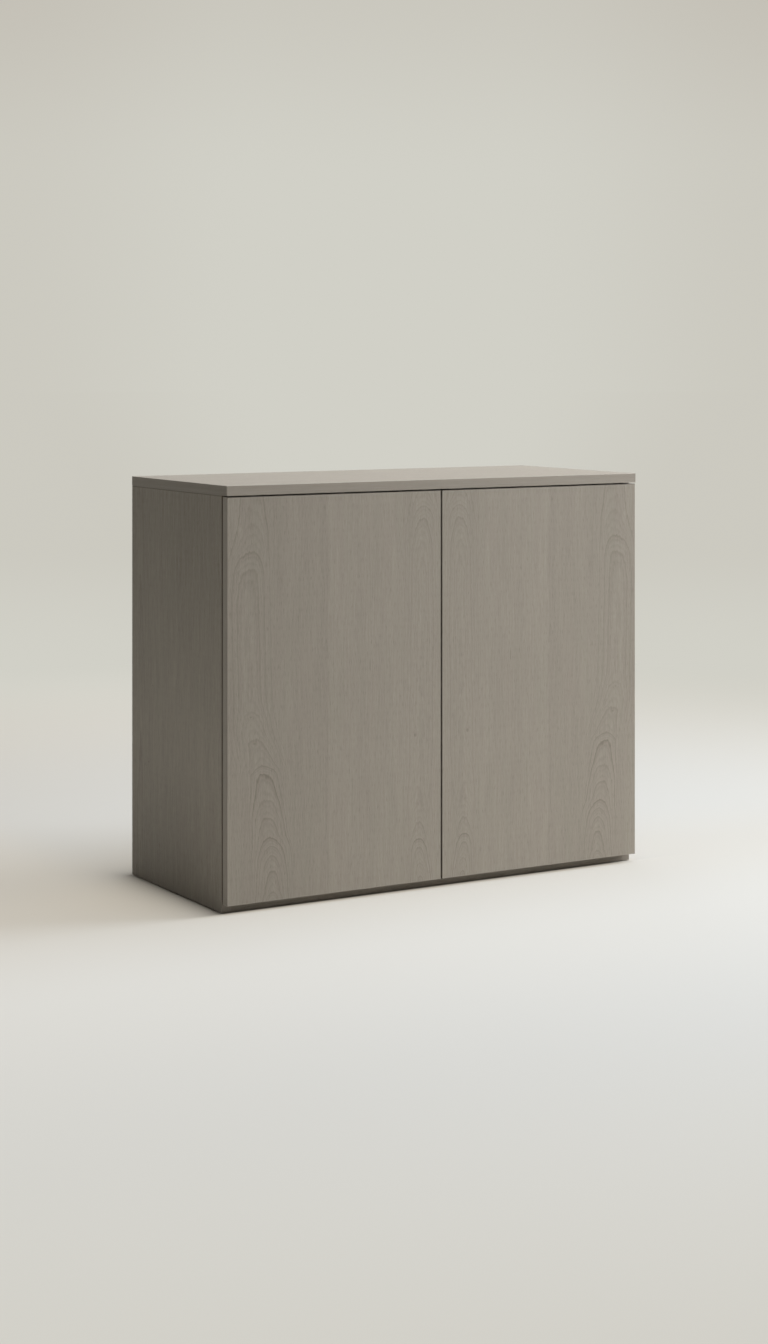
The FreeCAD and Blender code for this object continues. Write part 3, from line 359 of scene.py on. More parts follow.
def edge_share(sheet: NodeSheet, box: Box, width: float) -> Signal:
    """How near a point lies to the edges of a box-shaped board.

    For each axis, n is 1 on either end face and falls to 0 at width inside it.  On a face
    one n is 1 already, so the sum of the three less 1 rises only near an edge.

    Args:
        sheet: The material's nodes.
        box: Lowest and highest corner of the board.
        width: Reach of the lighter edges, partly wear and partly painted highlight, from each
            edge.

    Returns:
        0 on the open faces, 1 at the edges.
    """
    total = None
    for place, bottom, top in zip(sheet.place(), *box):
        inwards = (place - bottom).smallest(top - place)
        near = inwards.below(0.0, width)
        total = near if total is None else total + near
    return (total - 1.0).clamped()


# ---- finishes
@dataclass(frozen=True)
class Leaf:
    """One leaf of veneer figure: the rings of a leaning trunk, cut by the board.

    At each height the trunk's heart lies at a place across the board and a number of rings
    behind its face.  With d the distance across from the heart and s the heart's depth, both
    counted in rings, a ring shows where sqrt(d * d * (1 + d * d / CROWDING) + s * s) is a
    whole number; the second term crowds the straight grain far from the heart.

    Fields are where the leaf starts across the board, the breadth of a ring, the trunk as
    (share of the board's length, heart, depth in rings), the figure's strength and tone, and
    the numbers of the rings that stand out or are faint.
    """

    start: float
    spacing: float
    trunk: tuple[tuple[float, float, float], ...]
    strength: float = 1.0
    tone: float = 0.0
    bold: tuple[float, ...] = ()
    faint: tuple[float, ...] = ()


@dataclass(frozen=True)
class Knot:
    """A pin knot, with the grain that parts round it."""

    across: float
    along: float
    breadth: float
    length: float
    push: float = 0.0


@dataclass(frozen=True)
class SmokedWood:
    """Taupe smoked-wood laminate with a printed, softly embossed grain.

    Shades run from 0, the dark colour, to 1, the light one.  Tone and contrast set a board
    off from the others; on some boards the tone is painted shade.  A dark line painted
    along the upper end is the shadow of the joint under the top, and slow changes of tone
    along the board paint the light and shade on it.  The reaches are the ranges that the
    leaves' hearts and depths are curved over.
    """

    name: str
    grain: Axis
    across: Axis
    leaves: tuple[Leaf, ...]
    knots: tuple[Knot, ...] = ()
    mirrored: bool = False
    seed: float = 0.0
    tone: float = 0.0
    contrast: float = 1.0
    joint_shade: float = 0.0
    painted_light_swells: tuple[tuple[float, float], ...] = ()
    dark: Colour = paint(115, 109, 101)
    light: Colour = paint(178, 172, 163)
    pink: Colour = paint(155, 145, 138)
    green: Colour = paint(146, 145, 133)
    heart_reach: float = 0.5
    depth_reach: float = 24.0
    middle: float = 0.58
    line_strength: float = 0.31
    pore_strength: float = 0.20
    knot_strength: float = 0.24
    painted_light_strength: float = 0.5
    hue_share: float = 0.40
    wear_and_highlight_reach: float = 0.0016
    wear_and_highlight_strength: float = 0.10
    relief: float = 0.00012

    def rings(self, sheet: NodeSheet, leaf: Leaf, across: Signal, share: Signal,
              waver: Signal) -> Signal:
        """Darkness of the growth lines of one leaf.

        Args:
            sheet: The material's nodes.
            leaf: The leaf.
            across: Place across the board, in metres.
            share: Place along the board, 0 to 1.
            waver: Unevenness of the rings, in rings.

        Returns:
            0 between the lines, up to the leaf's strength on them.
        """
        hearts = tuple((along, heart / self.heart_reach) for along, heart, _ in leaf.trunk)
        depths = tuple((along, depth / self.depth_reach) for along, _, depth in leaf.trunk)
        heart = share.curve(hearts) * self.heart_reach
        depth = share.curve(depths) * self.depth_reach + waver
        offset = (across - heart) / leaf.spacing
        aside = offset * offset
        ring = (aside * (aside / CROWDING + 1.0) + depth * depth) ** 0.5
        place, number = ring.part(), ring.whole()
        line = place.above(0.30, 0.86) * 0.40 + place.above(0.70, 0.89) * 0.60
        line = line * place.below(0.92, 1.0)
        echo = (ring * 3.0).part()
        echo = echo.above(0.35, 0.85) * echo.below(0.90, 1.0) * 0.30
        weight = sheet.chance(number + self.seed) ** 1.6 * 0.55 + 0.30
        for bold in leaf.bold:
            weight = weight.largest(number.maths("COMPARE", bold, 0.5) * 1.15)
        for faint in leaf.faint:
            weight = weight * (1.0 - number.maths("COMPARE", faint, 0.5) * 0.7)
        near = abs(offset).below(4.0, 14.0) * 0.72 + 0.28
        return (line * weight + echo) * near * leaf.strength

    def make(self, box: Box) -> Material:
        """Build the laminate of one board.

        Args:
            box: Lowest and highest corner of the board.

        Returns:
            The material.
        """
        low, high = box
        material, sheet = new_material(self.name)
        places = sheet.place()
        along = places[self.grain.value]
        across = places[self.across.value]
        if self.mirrored:
            across = abs(across)
        bottom, top = low[self.grain.value], high[self.grain.value]
        share = (along - bottom) / (top - bottom)
        seed = self.seed
        drift = sheet.noise(across * 6.0, along * 3.2, seed, 2.0)
        ripple = sheet.noise(across * 45.0, along * 16.0, seed + 3.0, 3.0)
        jitter = sheet.noise(across * 260.0, along * 60.0, seed + 5.0, 2.0)
        bent = across + drift * 0.016 + ripple * 0.0040 + jitter * 0.0010
        dark_knots = None
        for knot in self.knots:
            aside = across - knot.across
            apart = (along - knot.along) / knot.length
            closeness = (aside * aside / knot.breadth ** 2 + apart * apart)
            if knot.push:
                swell = closeness.below(0.0, 30.0)
                bent = bent - swell * swell * knot.push * aside.maths("SIGN")
            spot = (closeness + jitter * 1.2 + ripple * 1.2).below(0.10, 1.10)
            dark_knots = spot if dark_knots is None else dark_knots.largest(spot)
        waver = ripple * 0.45 + jitter * 0.30

        lines = tone = None
        for leaf in self.leaves:
            figure = self.rings(sheet, leaf, bent, share, waver)
            if lines is None:
                lines, tone = figure, leaf.tone
                continue
            inside = across.above(leaf.start - 0.00025, leaf.start + 0.00025)
            lines = lines.towards(figure, inside)
            tone = inside * (leaf.tone - tone) + tone
            tone = tone - abs(across - leaf.start).below(0.0002, 0.0009) * 0.04

        streaks = sheet.noise(bent * 42.0, along * 2.0, seed + 7.0, 3.0, 0.6)
        fibres = sheet.noise(bent * 330.0, along * 9.0, seed + 9.0, 4.0, 0.62)
        threads = sheet.noise(bent * 1050.0, along * 40.0, seed + 11.0, 2.0, 0.6)
        pores = sheet.noise(across * 1250.0, along * 70.0, seed + 13.0, 1.0)
        pores = pores.above(0.06, 0.20)
        broken = (fibres * 2.2 + threads * 1.2 + 0.85).clamped()

        grain = streaks * 0.20 + fibres * 0.46 + threads * 0.40
        shade = grain * self.contrast + tone + (self.middle + self.tone)
        shade = shade - lines * broken * self.line_strength - pores * self.pore_strength
        if dark_knots is not None:
            shade = shade - dark_knots * self.knot_strength
        # Painted light and shade: slow changes of tone along the board.
        if self.painted_light_swells:
            shade = shade + (share.curve(self.painted_light_swells) - 0.5) * self.painted_light_strength
        # Painted shade: a dark line along the upper end stands for the shadow of the joint under
        # the top.
        if self.joint_shade:
            shade = shade - (top - along).below(0.0014, 0.0024) * self.joint_shade
        # Lighter and glossier near the edges: partly wear, partly a painted highlight.
        wear_and_highlight = edge_share(sheet, box, self.wear_and_highlight_reach)
        shade = (shade + wear_and_highlight * self.wear_and_highlight_strength).clamped()
        colour = sheet.blend(shade, self.dark, self.light)
        hue = sheet.noise(across * 60.0, along * 4.0, seed + 17.0, 3.0, 0.6)
        for sense, tint in ((2.2, self.pink), (-2.2, self.green)):
            colour = sheet.blend((hue * sense).clamped() * self.hue_share, colour, tint)
        gloss = 0.50 + threads * 0.10 + pores * 0.08 - wear_and_highlight * 0.06
        height = threads * 0.6 + fibres * 0.4 - pores * 0.6 - lines * 0.15
        sockets = {
            "Base Color": colour,
            "Roughness": gloss,
            "Normal": sheet.bumped(height, 0.35, self.relief),
            "Specular IOR Level": 0.36,
        }
        sheet.surface(sheet.principled(sockets))
        return material


@dataclass(frozen=True)
class EdgeBand:
    """Thin edge banding whose grain runs along each strip.

    Fields are its name, the two axes of the board's face, the seed, the painted shade of the
    strips at the board's ends, whether painted shade darkens the rims of the gap between the
    doors and of the gap under the top, and its colours.
    """

    name: str
    first: Axis
    second: Axis
    seed: float = 0.0
    painted_end_shade: float = 0.0
    shaded_gaps: bool = False
    wear_and_highlight_reach: float = 0.0011
    relief: float = 0.00010
    dark: Colour = paint(118, 112, 104)
    light: Colour = paint(180, 174, 166)
    # Colour of the painted shade in the gaps.
    gap: Colour = paint(62, 57, 50)

    def make(self, box: Box) -> Material:
        """Build the banding of one board.

        Strips that end the board along the first axis run along the second, and the
        others run along the first.

        Args:
            box: Lowest and highest corner of the banded edges.

        Returns:
            The material.
        """
        low, high = box
        material, sheet = new_material(self.name)
        places = sheet.place()
        along_first, along_second = places[self.first.value], places[self.second.value]
        bottom, top = low[self.first.value], high[self.first.value]
        at_end = (along_first - bottom).smallest(top - along_first).below(0.0010, 0.0013)
        third = ({0, 1, 2} - {self.first.value, self.second.value}).pop()
        run = along_first.towards(along_second, at_end)
        side = places[third] + along_second.towards(along_first, at_end) * 0.3
        streaks = sheet.noise(side * 160.0, run * 1.6, self.seed, 3.0, 0.6)
        fibres = sheet.noise(side * 900.0, run * 24.0, self.seed + 2.0, 3.0, 0.6)
        pores = sheet.noise(side * 2400.0, run * 120.0, self.seed + 4.0, 1.0)
        pores = pores.above(0.12, 0.22)
        # Lighter and glossier near the edges: partly wear, partly a painted highlight.
        wear_and_highlight = edge_share(sheet, box, self.wear_and_highlight_reach)
        shade = 0.52 + streaks * 0.36 + fibres * 0.30 - pores * 0.12 + wear_and_highlight * 0.12
        # Painted shade: the strips at the board's ends are darker.
        shade = (shade + at_end * self.painted_end_shade).clamped()
        colour = sheet.blend(shade, self.dark, self.light)
        # Painted shade on the rims near the front, at the gap between the doors and under the top.
        if self.shaded_gaps:
            x, y, z = places
            below_top = (high[2] - z).below(0.0006, 0.0011)
            rim = abs(x).below(0.0017, 0.0023).largest(below_top)
            front = (y - low[1]).below(0.0008, 0.0016)
            colour = sheet.blend(rim * front * 0.88, colour, self.gap)
        sockets = {
            "Base Color": colour,
            "Roughness": 0.46 + fibres * 0.10 - wear_and_highlight * 0.05,
            "Normal": sheet.bumped(fibres - pores, 0.30, self.relief),
            "Specular IOR Level": 0.42,
        }
        sheet.surface(sheet.principled(sockets))
        return material


@dataclass(frozen=True)
class Metal:
    """Pressed, cast or turned metal under a thin plating."""

    name: str
    dark: Colour
    light: Colour
    roughness: float
    grain: float
    relief: float
    metallic: float = 1.0

    def make(self) -> Material:
        """Build the metal: rolling marks, cloudy plating and scuffed roughness.

        Returns:
            The material.
        """
        material, sheet = new_material(self.name)
        x, y, z = sheet.place()
        clouds = sheet.clouds(90.0, 3.0, 0.6)
        marks = sheet.noise(x * 2600.0, y * 260.0, z * 2600.0, 2.0)
        specks = sheet.clouds(self.grain, 4.0, 0.65)
        shade = (0.6 + clouds * 0.5 + specks * 0.5).clamped()
        sockets = {
            "Base Color": sheet.blend(shade, self.dark, self.light),
            "Metallic": self.metallic,
            "Roughness": (self.roughness + clouds * 0.08 + marks * 0.10).clamped(),
            "Normal": sheet.bumped(specks + marks * 0.3, 0.35, self.relief),
        }
        sheet.surface(sheet.principled(sockets))
        return material


@dataclass(frozen=True)
class Plastic:
    """Moulded plastic with a spark-eroded skin."""

    name: str
    dark: Colour
    light: Colour
    roughness: float

    def make(self) -> Material:
        """Build the plastic: fine texture, slight flow marks and rubbed high spots.

        Returns:
            The material.
        """
        material, sheet = new_material(self.name)
        x, y, z = sheet.place()
        skin = sheet.clouds(2400.0, 2.0, 0.6)
        flow = sheet.noise(x * 60.0, y * 60.0, z * 25.0, 3.0, 0.6)
        shade = (0.5 + flow * 0.8 + skin * 0.4).clamped()
        sockets = {
            "Base Color": sheet.blend(shade, self.dark, self.light),
            "Roughness": (self.roughness + skin * 0.16 + flow * 0.10).clamped(),
            "Normal": sheet.bumped(skin, 0.4, 0.00006),
        }
        sheet.surface(sheet.principled(sockets))
        return material


@dataclass(frozen=True)
class StraightWood:
    """Plain straight-grained timber or a lightly printed board."""

    name: str
    dark: Colour
    light: Colour
    grain: Axis
    roughness: float
    contrast: float

    def make(self) -> Material:
        """Build the timber: streaks, fibres and flecks drawn out along the grain.

        Returns:
            The material.
        """
        material, sheet = new_material(self.name)
        pull = [1.0, 1.0, 1.0]
        pull[self.grain.value] = 0.03
        streaks = sheet.clouds(60.0, 3.0, 0.6, pull)
        fibres = sheet.clouds(700.0, 3.0, 0.6, pull)
        flecks = sheet.clouds(1800.0, 1.0, 0.5, pull).above(0.1, 0.2)
        shade = 0.5 + (streaks * 0.8 + fibres * 0.6 - flecks * 0.3) * self.contrast
        sockets = {
            "Base Color": sheet.blend(shade.clamped(), self.dark, self.light),
            "Roughness": self.roughness + fibres * 0.12,
            "Normal": sheet.bumped(fibres - flecks, 0.35, 0.00012),
        }
        sheet.surface(sheet.principled(sockets))
        return material


def dress(node: str, material: Material) -> None:
    """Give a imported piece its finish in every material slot.

    Args:
        node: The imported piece.
        material: Its finish.
    """
    piece = FRAME["nodes"][node]
    if not piece.material_slots:
        piece.data.materials.append(material)
    for slot in piece.material_slots:
        slot.material = material
    LOG.info("%s dressed in %s", node, material.name)


# ---- new shapes
def body_of(node: str) -> str:
    """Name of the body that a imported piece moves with."""
    bodies = FRAME["record"]["behaviour"]["bodies"]
    return next(body for body, nodes in bodies.items() if node in nodes)


def slot_of(node: str) -> str:
    """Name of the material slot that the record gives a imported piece."""
    rows = FRAME["record"]["subparts"]
    return next(row["material_slot"] for row in rows if row["node"] == node)


def stand_for(node: str, name: str, mesh: bpy.types.Mesh,
              material: Material) -> bpy.types.Object:
    """Put a finer piece in the place of a packed one.

    Args:
        node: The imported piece.
        name: Name of the finer one.
        mesh: Its mesh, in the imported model's frame.
        material: Its finish.

    Returns:
        The new object.
    """
    mesh.name = name
    mesh.materials.clear()
    mesh.materials.append(material)
    piece = bpy.data.objects.new(name, mesh)
    bpy.context.scene.collection.objects.link(piece)
    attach(piece, body_of(node))
    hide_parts(node)
    LOG.info("%s stands for %s", name, node)
    return piece


def solids(node: str) -> list[np.ndarray]:
    """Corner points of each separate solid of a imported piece.

    Corners at one place count as one point.  Each point takes the lowest number among the
    points of its triangles, over and over, until all the points of a solid share a number.

    Args:
        node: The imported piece.

    Returns:
        One array of points for each solid.
    """
    mesh = FRAME["nodes"][node].data
    points = np.empty(len(mesh.vertices) * 3)
    mesh.vertices.foreach_get("co", points)
    mesh.calc_loop_triangles()
    corners = np.empty(len(mesh.loop_triangles) * 3, dtype=np.int32)
    mesh.loop_triangles.foreach_get("vertices", corners)
    spots, index = np.unique(points.reshape(-1, 3).round(6), axis=0, return_inverse=True)
    triangles = index.reshape(-1)[corners].reshape(-1, 3)
    number, settled = np.arange(len(spots)), None
    while not np.array_equal(number, settled):
        settled = number.copy()
        np.minimum.at(number, triangles, settled[triangles].min(axis=1, keepdims=True))
    return [spots[number == lowest] for lowest in np.unique(number)]


def ring_quads(number: np.ndarray) -> np.ndarray:
    """Faces between neighbouring rows of a grid of point numbers, each row closed round."""
    beside = np.roll(number, -1, axis=1)
    return np.stack((number[:-1], number[1:], beside[1:], beside[:-1]), -1).reshape(-1, 4)


def skins_to_mesh(skins: list[np.ndarray]) -> bpy.types.Mesh:
    """One mesh of several closed skins.

    A skin is a grid of points: each row is a ring that joins up with itself, the rows run
    from the upper end to the lower one with the columns anticlockwise seen from above, and
    a fan to the middle of the first and of the last ring shuts it.

    Args:
        skins: Arrays of shape (rows, columns, 3).

    Returns:
        The mesh.
    """
    points, faces, start = [], [], 0
    for grid in skins:
        rows, columns = grid.shape[:2]
        number = start + np.arange(rows * columns).reshape(rows, columns)
        first, last = number[0], number[-1]
        upper = start + rows * columns
        shut_above = np.stack((np.full(columns, upper), first, np.roll(first, -1)), -1)
        shut_below = np.stack((np.full(columns, upper + 1), np.roll(last, -1), last), -1)
        poles = np.stack((grid[0].mean(axis=0), grid[-1].mean(axis=0)))
        points += [grid.reshape(-1, 3), poles]
        faces += ring_quads(number).tolist() + shut_above.tolist() + shut_below.tolist()
        start = upper + 2
    mesh = bpy.data.meshes.new("skins")
    mesh.from_pydata(np.concatenate(points).tolist(), [], faces)
    mesh.shade_smooth()
    mesh.set_sharp_from_angle(angle=SMOOTH_BEND)
    return mesh


def ring_angles(columns: int) -> np.ndarray:
    """Even angles round a full turn."""
    return np.arange(columns) * FULL_TURN / columns


def thread_ridge(turns: np.ndarray) -> np.ndarray:
    """Height of a thread's ridge, 0 to 1: the square of (1 + cos(2 pi turns)) / 2."""
    return (0.5 + 0.5 * np.cos(FULL_TURN * turns)) ** 2


def lathe(radius: np.ndarray, height: np.ndarray, angle: np.ndarray) -> np.ndarray:
    """Skin with point (r cos a, r sin a, z) for each radius, height and angle of a grid."""
    radius, height, angle = np.broadcast_arrays(radius, height, angle)
    return np.stack((radius * np.cos(angle), radius * np.sin(angle), height), -1)


def set_at(grid: np.ndarray, seat: np.ndarray, outwards: np.ndarray) -> np.ndarray:
    """Carry a skin made about the origin to its seat.

    Args:
        grid: The skin.
        seat: Where its origin goes.
        outwards: Unit vector that its height turns to, along an axis.

    Returns:
        The skin in its seat.
    """
    aside = np.roll(outwards, 1)
    basis = np.stack((aside, np.cross(outwards, aside), outwards))
    return grid @ basis + seat


@dataclass(frozen=True)
class Screw:
    """A pan-headed screw with a cross recess, sizes in metres."""

    head: float
    crown: float
    shank: float
    pitch: float
    pointed: bool = True

    def head_skin(self) -> np.ndarray:
        """Head with its cross recess.

        At share p of the head's radius the crown is crown * sqrt(1 - p ** 3) high.  Two bars
        at right angles are sunk into it, deepest in the middle.

        Returns:
            The skin, its underside at height 0.
        """
        shares = np.concatenate((np.linspace(0.05, 0.70, 12), (0.8, 0.9, 0.96, 0.99, 1.0, 0.97)))
        share, angle = np.meshgrid(shares, ring_angles(40), indexing="ij")
        height = self.crown * np.sqrt(np.clip(1.0 - share ** 3, 0.0, 1.0))
        x, y = np.abs(share * np.cos(angle)), np.abs(share * np.sin(angle))
        bars = [np.clip((0.15 - side) / 0.05, 0.0, 1.0) * np.clip((0.62 - run) / 0.10, 0.0, 1.0)
                for side, run in ((x, y), (y, x))]
        sunk = np.maximum(*bars) * (1.35 - share) * self.crown
        height = height - sunk
        height[-1] = 0.0
        return lathe(share * self.head, height, angle)

    def shank_skin(self, length: float) -> np.ndarray:
        """Threaded shank.

        The radius is the core's plus a ridge that climbs one pitch each turn, and shrinks to
        nothing at a pointed tip.

        Args:
            length: From the head's underside to the tip.

        Returns:
            The skin.
        """
        rows = max(int(length / self.pitch * 6), 8)
        depth, angle = np.meshgrid(np.linspace(0.0, length, rows), ring_angles(16), indexing="ij")
        ridge = thread_ridge(depth / self.pitch - angle / FULL_TURN)
        radius = self.shank * (0.70 + 0.30 * ridge)
        if self.pointed:
            taper = np.clip((length - depth) / (2.6 * self.shank), 0.02, 1.0)
            radius = radius * np.sqrt(taper)
        return lathe(radius, -depth, angle)

    def stand_for(self, node: str, inwards: Axis, sense: float,
                  material: Material) -> None:
        """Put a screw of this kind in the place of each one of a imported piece.

        Args:
            node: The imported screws.
            inwards: Axis that they are driven along.
            sense: 1 or -1, the way along it; 0 for away from the cabinet's middle.
            material: Their finish.
        """
        skins = []
        for points in solids(node):
            low, high = points.min(axis=0), points.max(axis=0)
            drive = np.zeros(3)
            drive[inwards.value] = sense or np.sign(low[inwards.value])
            reach = points @ drive
            seat = (low + high) / 2.0
            seat += drive * (reach.min() + self.crown - seat @ drive)
            length = reach.max() - reach.min() - self.crown
            for skin in (self.head_skin(), self.shank_skin(length)):
                skins.append(set_at(skin, seat, -drive))
        stand_for(node, f"crosshead_{node}", skins_to_mesh(skins), material)


@dataclass(frozen=True)
class LevellingFoot:
    """Threaded spindle and ribbed pad of one foot, sizes in metres."""

    corner: str
    thread: float = 0.0040
    pitch: float = 0.00125
    plain: float = 0.0026
    shoulder: float = 0.0100
    key: float = 0.0020
    key_depth: float = 0.0038
    ribs: int = 12

    def spindle(self, top: float, bottom: float) -> np.ndarray:
        """Spindle with a hexagonal key socket in its upper end.

        The socket's wall lies at key / cos(a), a being the angle from the middle of its
        nearest flat.  The thread's ridge climbs one pitch each turn.

        Args:
            top: Height of the upper end.
            bottom: Height of the lower end.

        Returns:
            The skin.
        """
        angle = ring_angles(36)
        flat = np.mod(angle, math.pi / 3.0) - math.pi / 6.0
        hexagon = self.key / np.cos(flat)
        rounds = np.arange(top - 0.0008, self.shoulder, -self.pitch / 6.0)[:, None]
        ridge = thread_ridge(rounds / self.pitch + angle / FULL_TURN)
        rows = [
            lathe(hexagon * 0.5, top - self.key_depth, angle),
            lathe(hexagon, top - self.key_depth, angle),
            lathe(hexagon, top - 0.0003, angle),
            lathe(hexagon + 0.0003, top, angle),
            lathe(self.thread - 0.0009, top, angle),
            *lathe(self.thread - 0.0007 * ridge, rounds, angle),
            lathe(self.thread - 0.0009, self.shoulder, angle),
            lathe(self.plain, self.shoulder - 0.0004, angle),
            lathe(self.plain, bottom + 0.0004, angle),
            lathe(self.plain - 0.0004, bottom, angle),
        ]
        return np.stack(rows)

    def pad(self, radius: float, height: float) -> np.ndarray:
        """Pad: a low cone with radial ribs, a rolled rim and grip rings underneath.

        The ribs add cos(ribs * a) ** 8 of their height to the cone between rim and neck.

        Args:
            radius: Of the rim.
            height: Of the neck's end.

        Returns:
            The skin.
        """
        angle = ring_angles(self.ribs * 8)
        rib = np.cos(self.ribs / 2.0 * angle) ** 8
        profile = (  # radius and height in millimetres, share of the ribs
            (2.6, -5.8, 0.0), (2.7, 0.0, 0.0), (5.8, 0.0, 0.0), (6.5, -0.6, 0.0),
            (6.5, -2.0, 0.0), (7.3, -2.7, 0.4), (9.5, -4.0, 1.0), (12.0, -5.3, 1.0),
            (14.2, -6.3, 0.7), (15.4, -6.7, 0.0), (16.0, -7.3, 0.0), (16.0, -8.2, 0.0),
            (15.6, -8.9, 0.0), (14.8, -9.0, 0.0), (13.6, -9.0, 0.0), (13.2, -8.5, 0.0),
            (12.2, -8.5, 0.0), (11.8, -9.0, 0.0), (10.0, -9.0, 0.0), (9.6, -8.5, 0.0),
            (8.6, -8.5, 0.0), (8.2, -9.0, 0.0), (3.0, -9.0, 0.0),
        )
        shape = np.array(profile)[:, :, None]
        across = shape[:, 0] / 16.0 * radius
        level = height + shape[:, 1] * 0.001 + shape[:, 2] * rib * 0.0011
        return lathe(across, level, angle)

    def build(self, steel: Material, plastic: Material) -> None:
        """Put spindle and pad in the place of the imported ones.

        Args:
            steel: Finish of the spindle.
            plastic: Finish of the pad.
        """
        for kind, material in (("spindle", steel), ("pad", plastic)):
            node = f"{self.corner}_foot_{kind}"
            low, high = (np.array(corner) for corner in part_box(node))
            middle = (low + high) / 2.0
            if kind == "spindle":
                skin = self.spindle(high[2], low[2])
            else:
                skin = self.pad((high[0] - low[0]) / 2.0, high[2])
            skin[..., :2] += middle[:2]
            stand_for(node, f"turned_{node}", skins_to_mesh([skin]), material)


def fluted_dowels(node: str, material: Material, flutes: int = 18) -> None:
    """Beech dowels with pressed flutes and bevelled ends, in the place of plain ones.

    The radius is the dowel's less a flute's depth times cos(flutes * a / 2) ** 6.

    Args:
        node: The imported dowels.
        material: Their finish.
        flutes: Flutes round each.
    """
    angle = ring_angles(flutes * 4)
    flute = np.cos(flutes / 2.0 * angle) ** 6
    skins = []
    for points in solids(node):
        low, high = points.min(axis=0), points.max(axis=0)
        run = int(np.argmax(high - low))
        half, radius = (high - low)[run] / 2.0, np.sort(high - low)[0] / 2.0
        along = np.array((1.0, 0.93, 0.90, -0.90, -0.93, -1.0))[:, None] * half
        share = np.array((0.74, 0.97, 1.0, 1.0, 0.97, 0.74))[:, None]
        outwards = np.eye(3)[run]
        skin = lathe(share * radius - flute * 0.0003, along, angle)
        skins.append(set_at(skin, (low + high) / 2.0, outwards))
    stand_for(node, f"fluted_{node}", skins_to_mesh(skins), material)


def softened(node: str, name: str, edge: float, material: Material) -> None:
    """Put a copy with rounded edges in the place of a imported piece.

    Args:
        node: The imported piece.
        name: Name of the copy.
        edge: Width of the rounding.
        material: Its finish.
    """
    mesh = FRAME["nodes"][node].data.copy()
    work = bmesh.new()
    work.from_mesh(mesh)
    bmesh.ops.remove_doubles(work, verts=work.verts, dist=SAME_POINT)
    bmesh.ops.dissolve_limit(work, angle_limit=FLAT_BEND, verts=work.verts,
                             edges=work.edges, delimit=set())
    bmesh.ops.recalc_face_normals(work, faces=work.faces)
    work.to_mesh(mesh)
    work.free()
    mesh.shade_smooth()
    mesh.set_sharp_from_angle(angle=SMOOTH_BEND)
    piece = stand_for(node, name, mesh, material)
    rounding = piece.modifiers.new("rounding", "BEVEL")
    rounding.width = edge
    rounding.segments = 2
    rounding.limit_method = "ANGLE"
    rounding.angle_limit = math.radians(40)
    rounding.harden_normals = True


# ---- sub-assemblies
@dataclass
class Doors:
    """The two doors, one book-matched pair, with leaves and knots placed from the middle gap."""

    nodes: tuple[str, ...] = ("left_door_panel", "right_door_panel")
    inner: Leaf = Leaf(0.0, 0.0056, (
        (0.0, 0.046, 1.6), (0.014, 0.046, 2.0), (0.048, 0.047, 3.0), (0.089, 0.048, 4.0),
        (0.110, 0.049, 5.0), (0.155, 0.048, 6.0), (0.19, 0.046, 6.7), (0.30, 0.045, 7.2),
        (0.60, 0.043, 7.3), (0.80, 0.042, 7.5), (0.865, 0.042, 7.9), (0.905, 0.043, 8.5),
        (0.932, 0.041, 9.0), (0.965, 0.041, 10.0), (1.0, 0.041, 10.8)), 1.0, 0.055,
        bold=(4.0,), faint=(6.0, 7.0))
    middle: Leaf = Leaf(0.083, 0.0052, ((0.0, 0.20, 9.0), (0.45, 0.18, 9.6), (1.0, 0.19, 9.2)),
                        0.55, 0.040)
    joint: Leaf = Leaf(0.160, 0.0058, ((0.0, 0.12, 8.0), (0.5, 0.13, 8.8), (1.0, 0.12, 8.4)),
                       0.50, 0.040)
    outer: Leaf = Leaf(0.2435, 0.0058, (
        (0.0, 0.358, 3.2), (0.018, 0.358, 3.9), (0.073, 0.358, 4.9), (0.110, 0.359, 5.9),
        (0.133, 0.360, 6.9), (0.155, 0.364, 7.9), (0.205, 0.368, 8.9), (0.249, 0.371, 9.9),
        (0.315, 0.376, 10.9), (0.333, 0.378, 11.9), (0.401, 0.392, 12.9),
        (0.459, 0.399, 13.7), (0.493, 0.402, 14.2), (0.66, 0.405, 14.3),
        (0.767, 0.406, 14.45), (0.822, 0.405, 14.9), (0.863, 0.404, 15.9),
        (0.926, 0.400, 16.9), (1.0, 0.400, 17.45)), 1.0, -0.014,
        bold=(10.0, 7.0), faint=(13.0, 16.0))
    knots: tuple[Knot, ...] = (
        Knot(0.0575, 0.291, 0.0030, 0.0040, 0.0030),
        Knot(0.152, 0.470, 0.0013, 0.0050),
        Knot(0.155, 0.430, 0.0010, 0.0140, 0.0020),
        Knot(0.217, 0.279, 0.0012, 0.0050),
        Knot(0.402, 0.350, 0.0030, 0.0016, 0.0060),
        Knot(0.395, 0.302, 0.0040, 0.0018, 0.0060),
    )
    # Painted light: the doors are a little lighter towards the bottom.
    painted_light_swells: tuple[tuple[float, float], ...] = ((0.0, 0.56), (0.35, 0.52), (0.70, 0.50),
                                               (1.0, 0.50))

    def dress(self) -> None:
        """Finish the door boards and their edge banding."""
        leaves = (self.inner, self.middle, self.joint, self.outer)
        wood = SmokedWood("smoked_wood_doors", Axis.Z, Axis.X, leaves, self.knots,
                          mirrored=True, seed=2.0, painted_light_swells=self.painted_light_swells)
        for node in self.nodes:
            dress(node, wood.make(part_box(node)))
            bands = node.replace("panel", "edge_bands")
            # The door banding has painted shade at the gap between the doors and under the top.
            banding = EdgeBand(f"banding_{bands}", Axis.X, Axis.Z, seed=len(bands), shaded_gaps=True)
            dress(bands, banding.make(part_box(bands)))


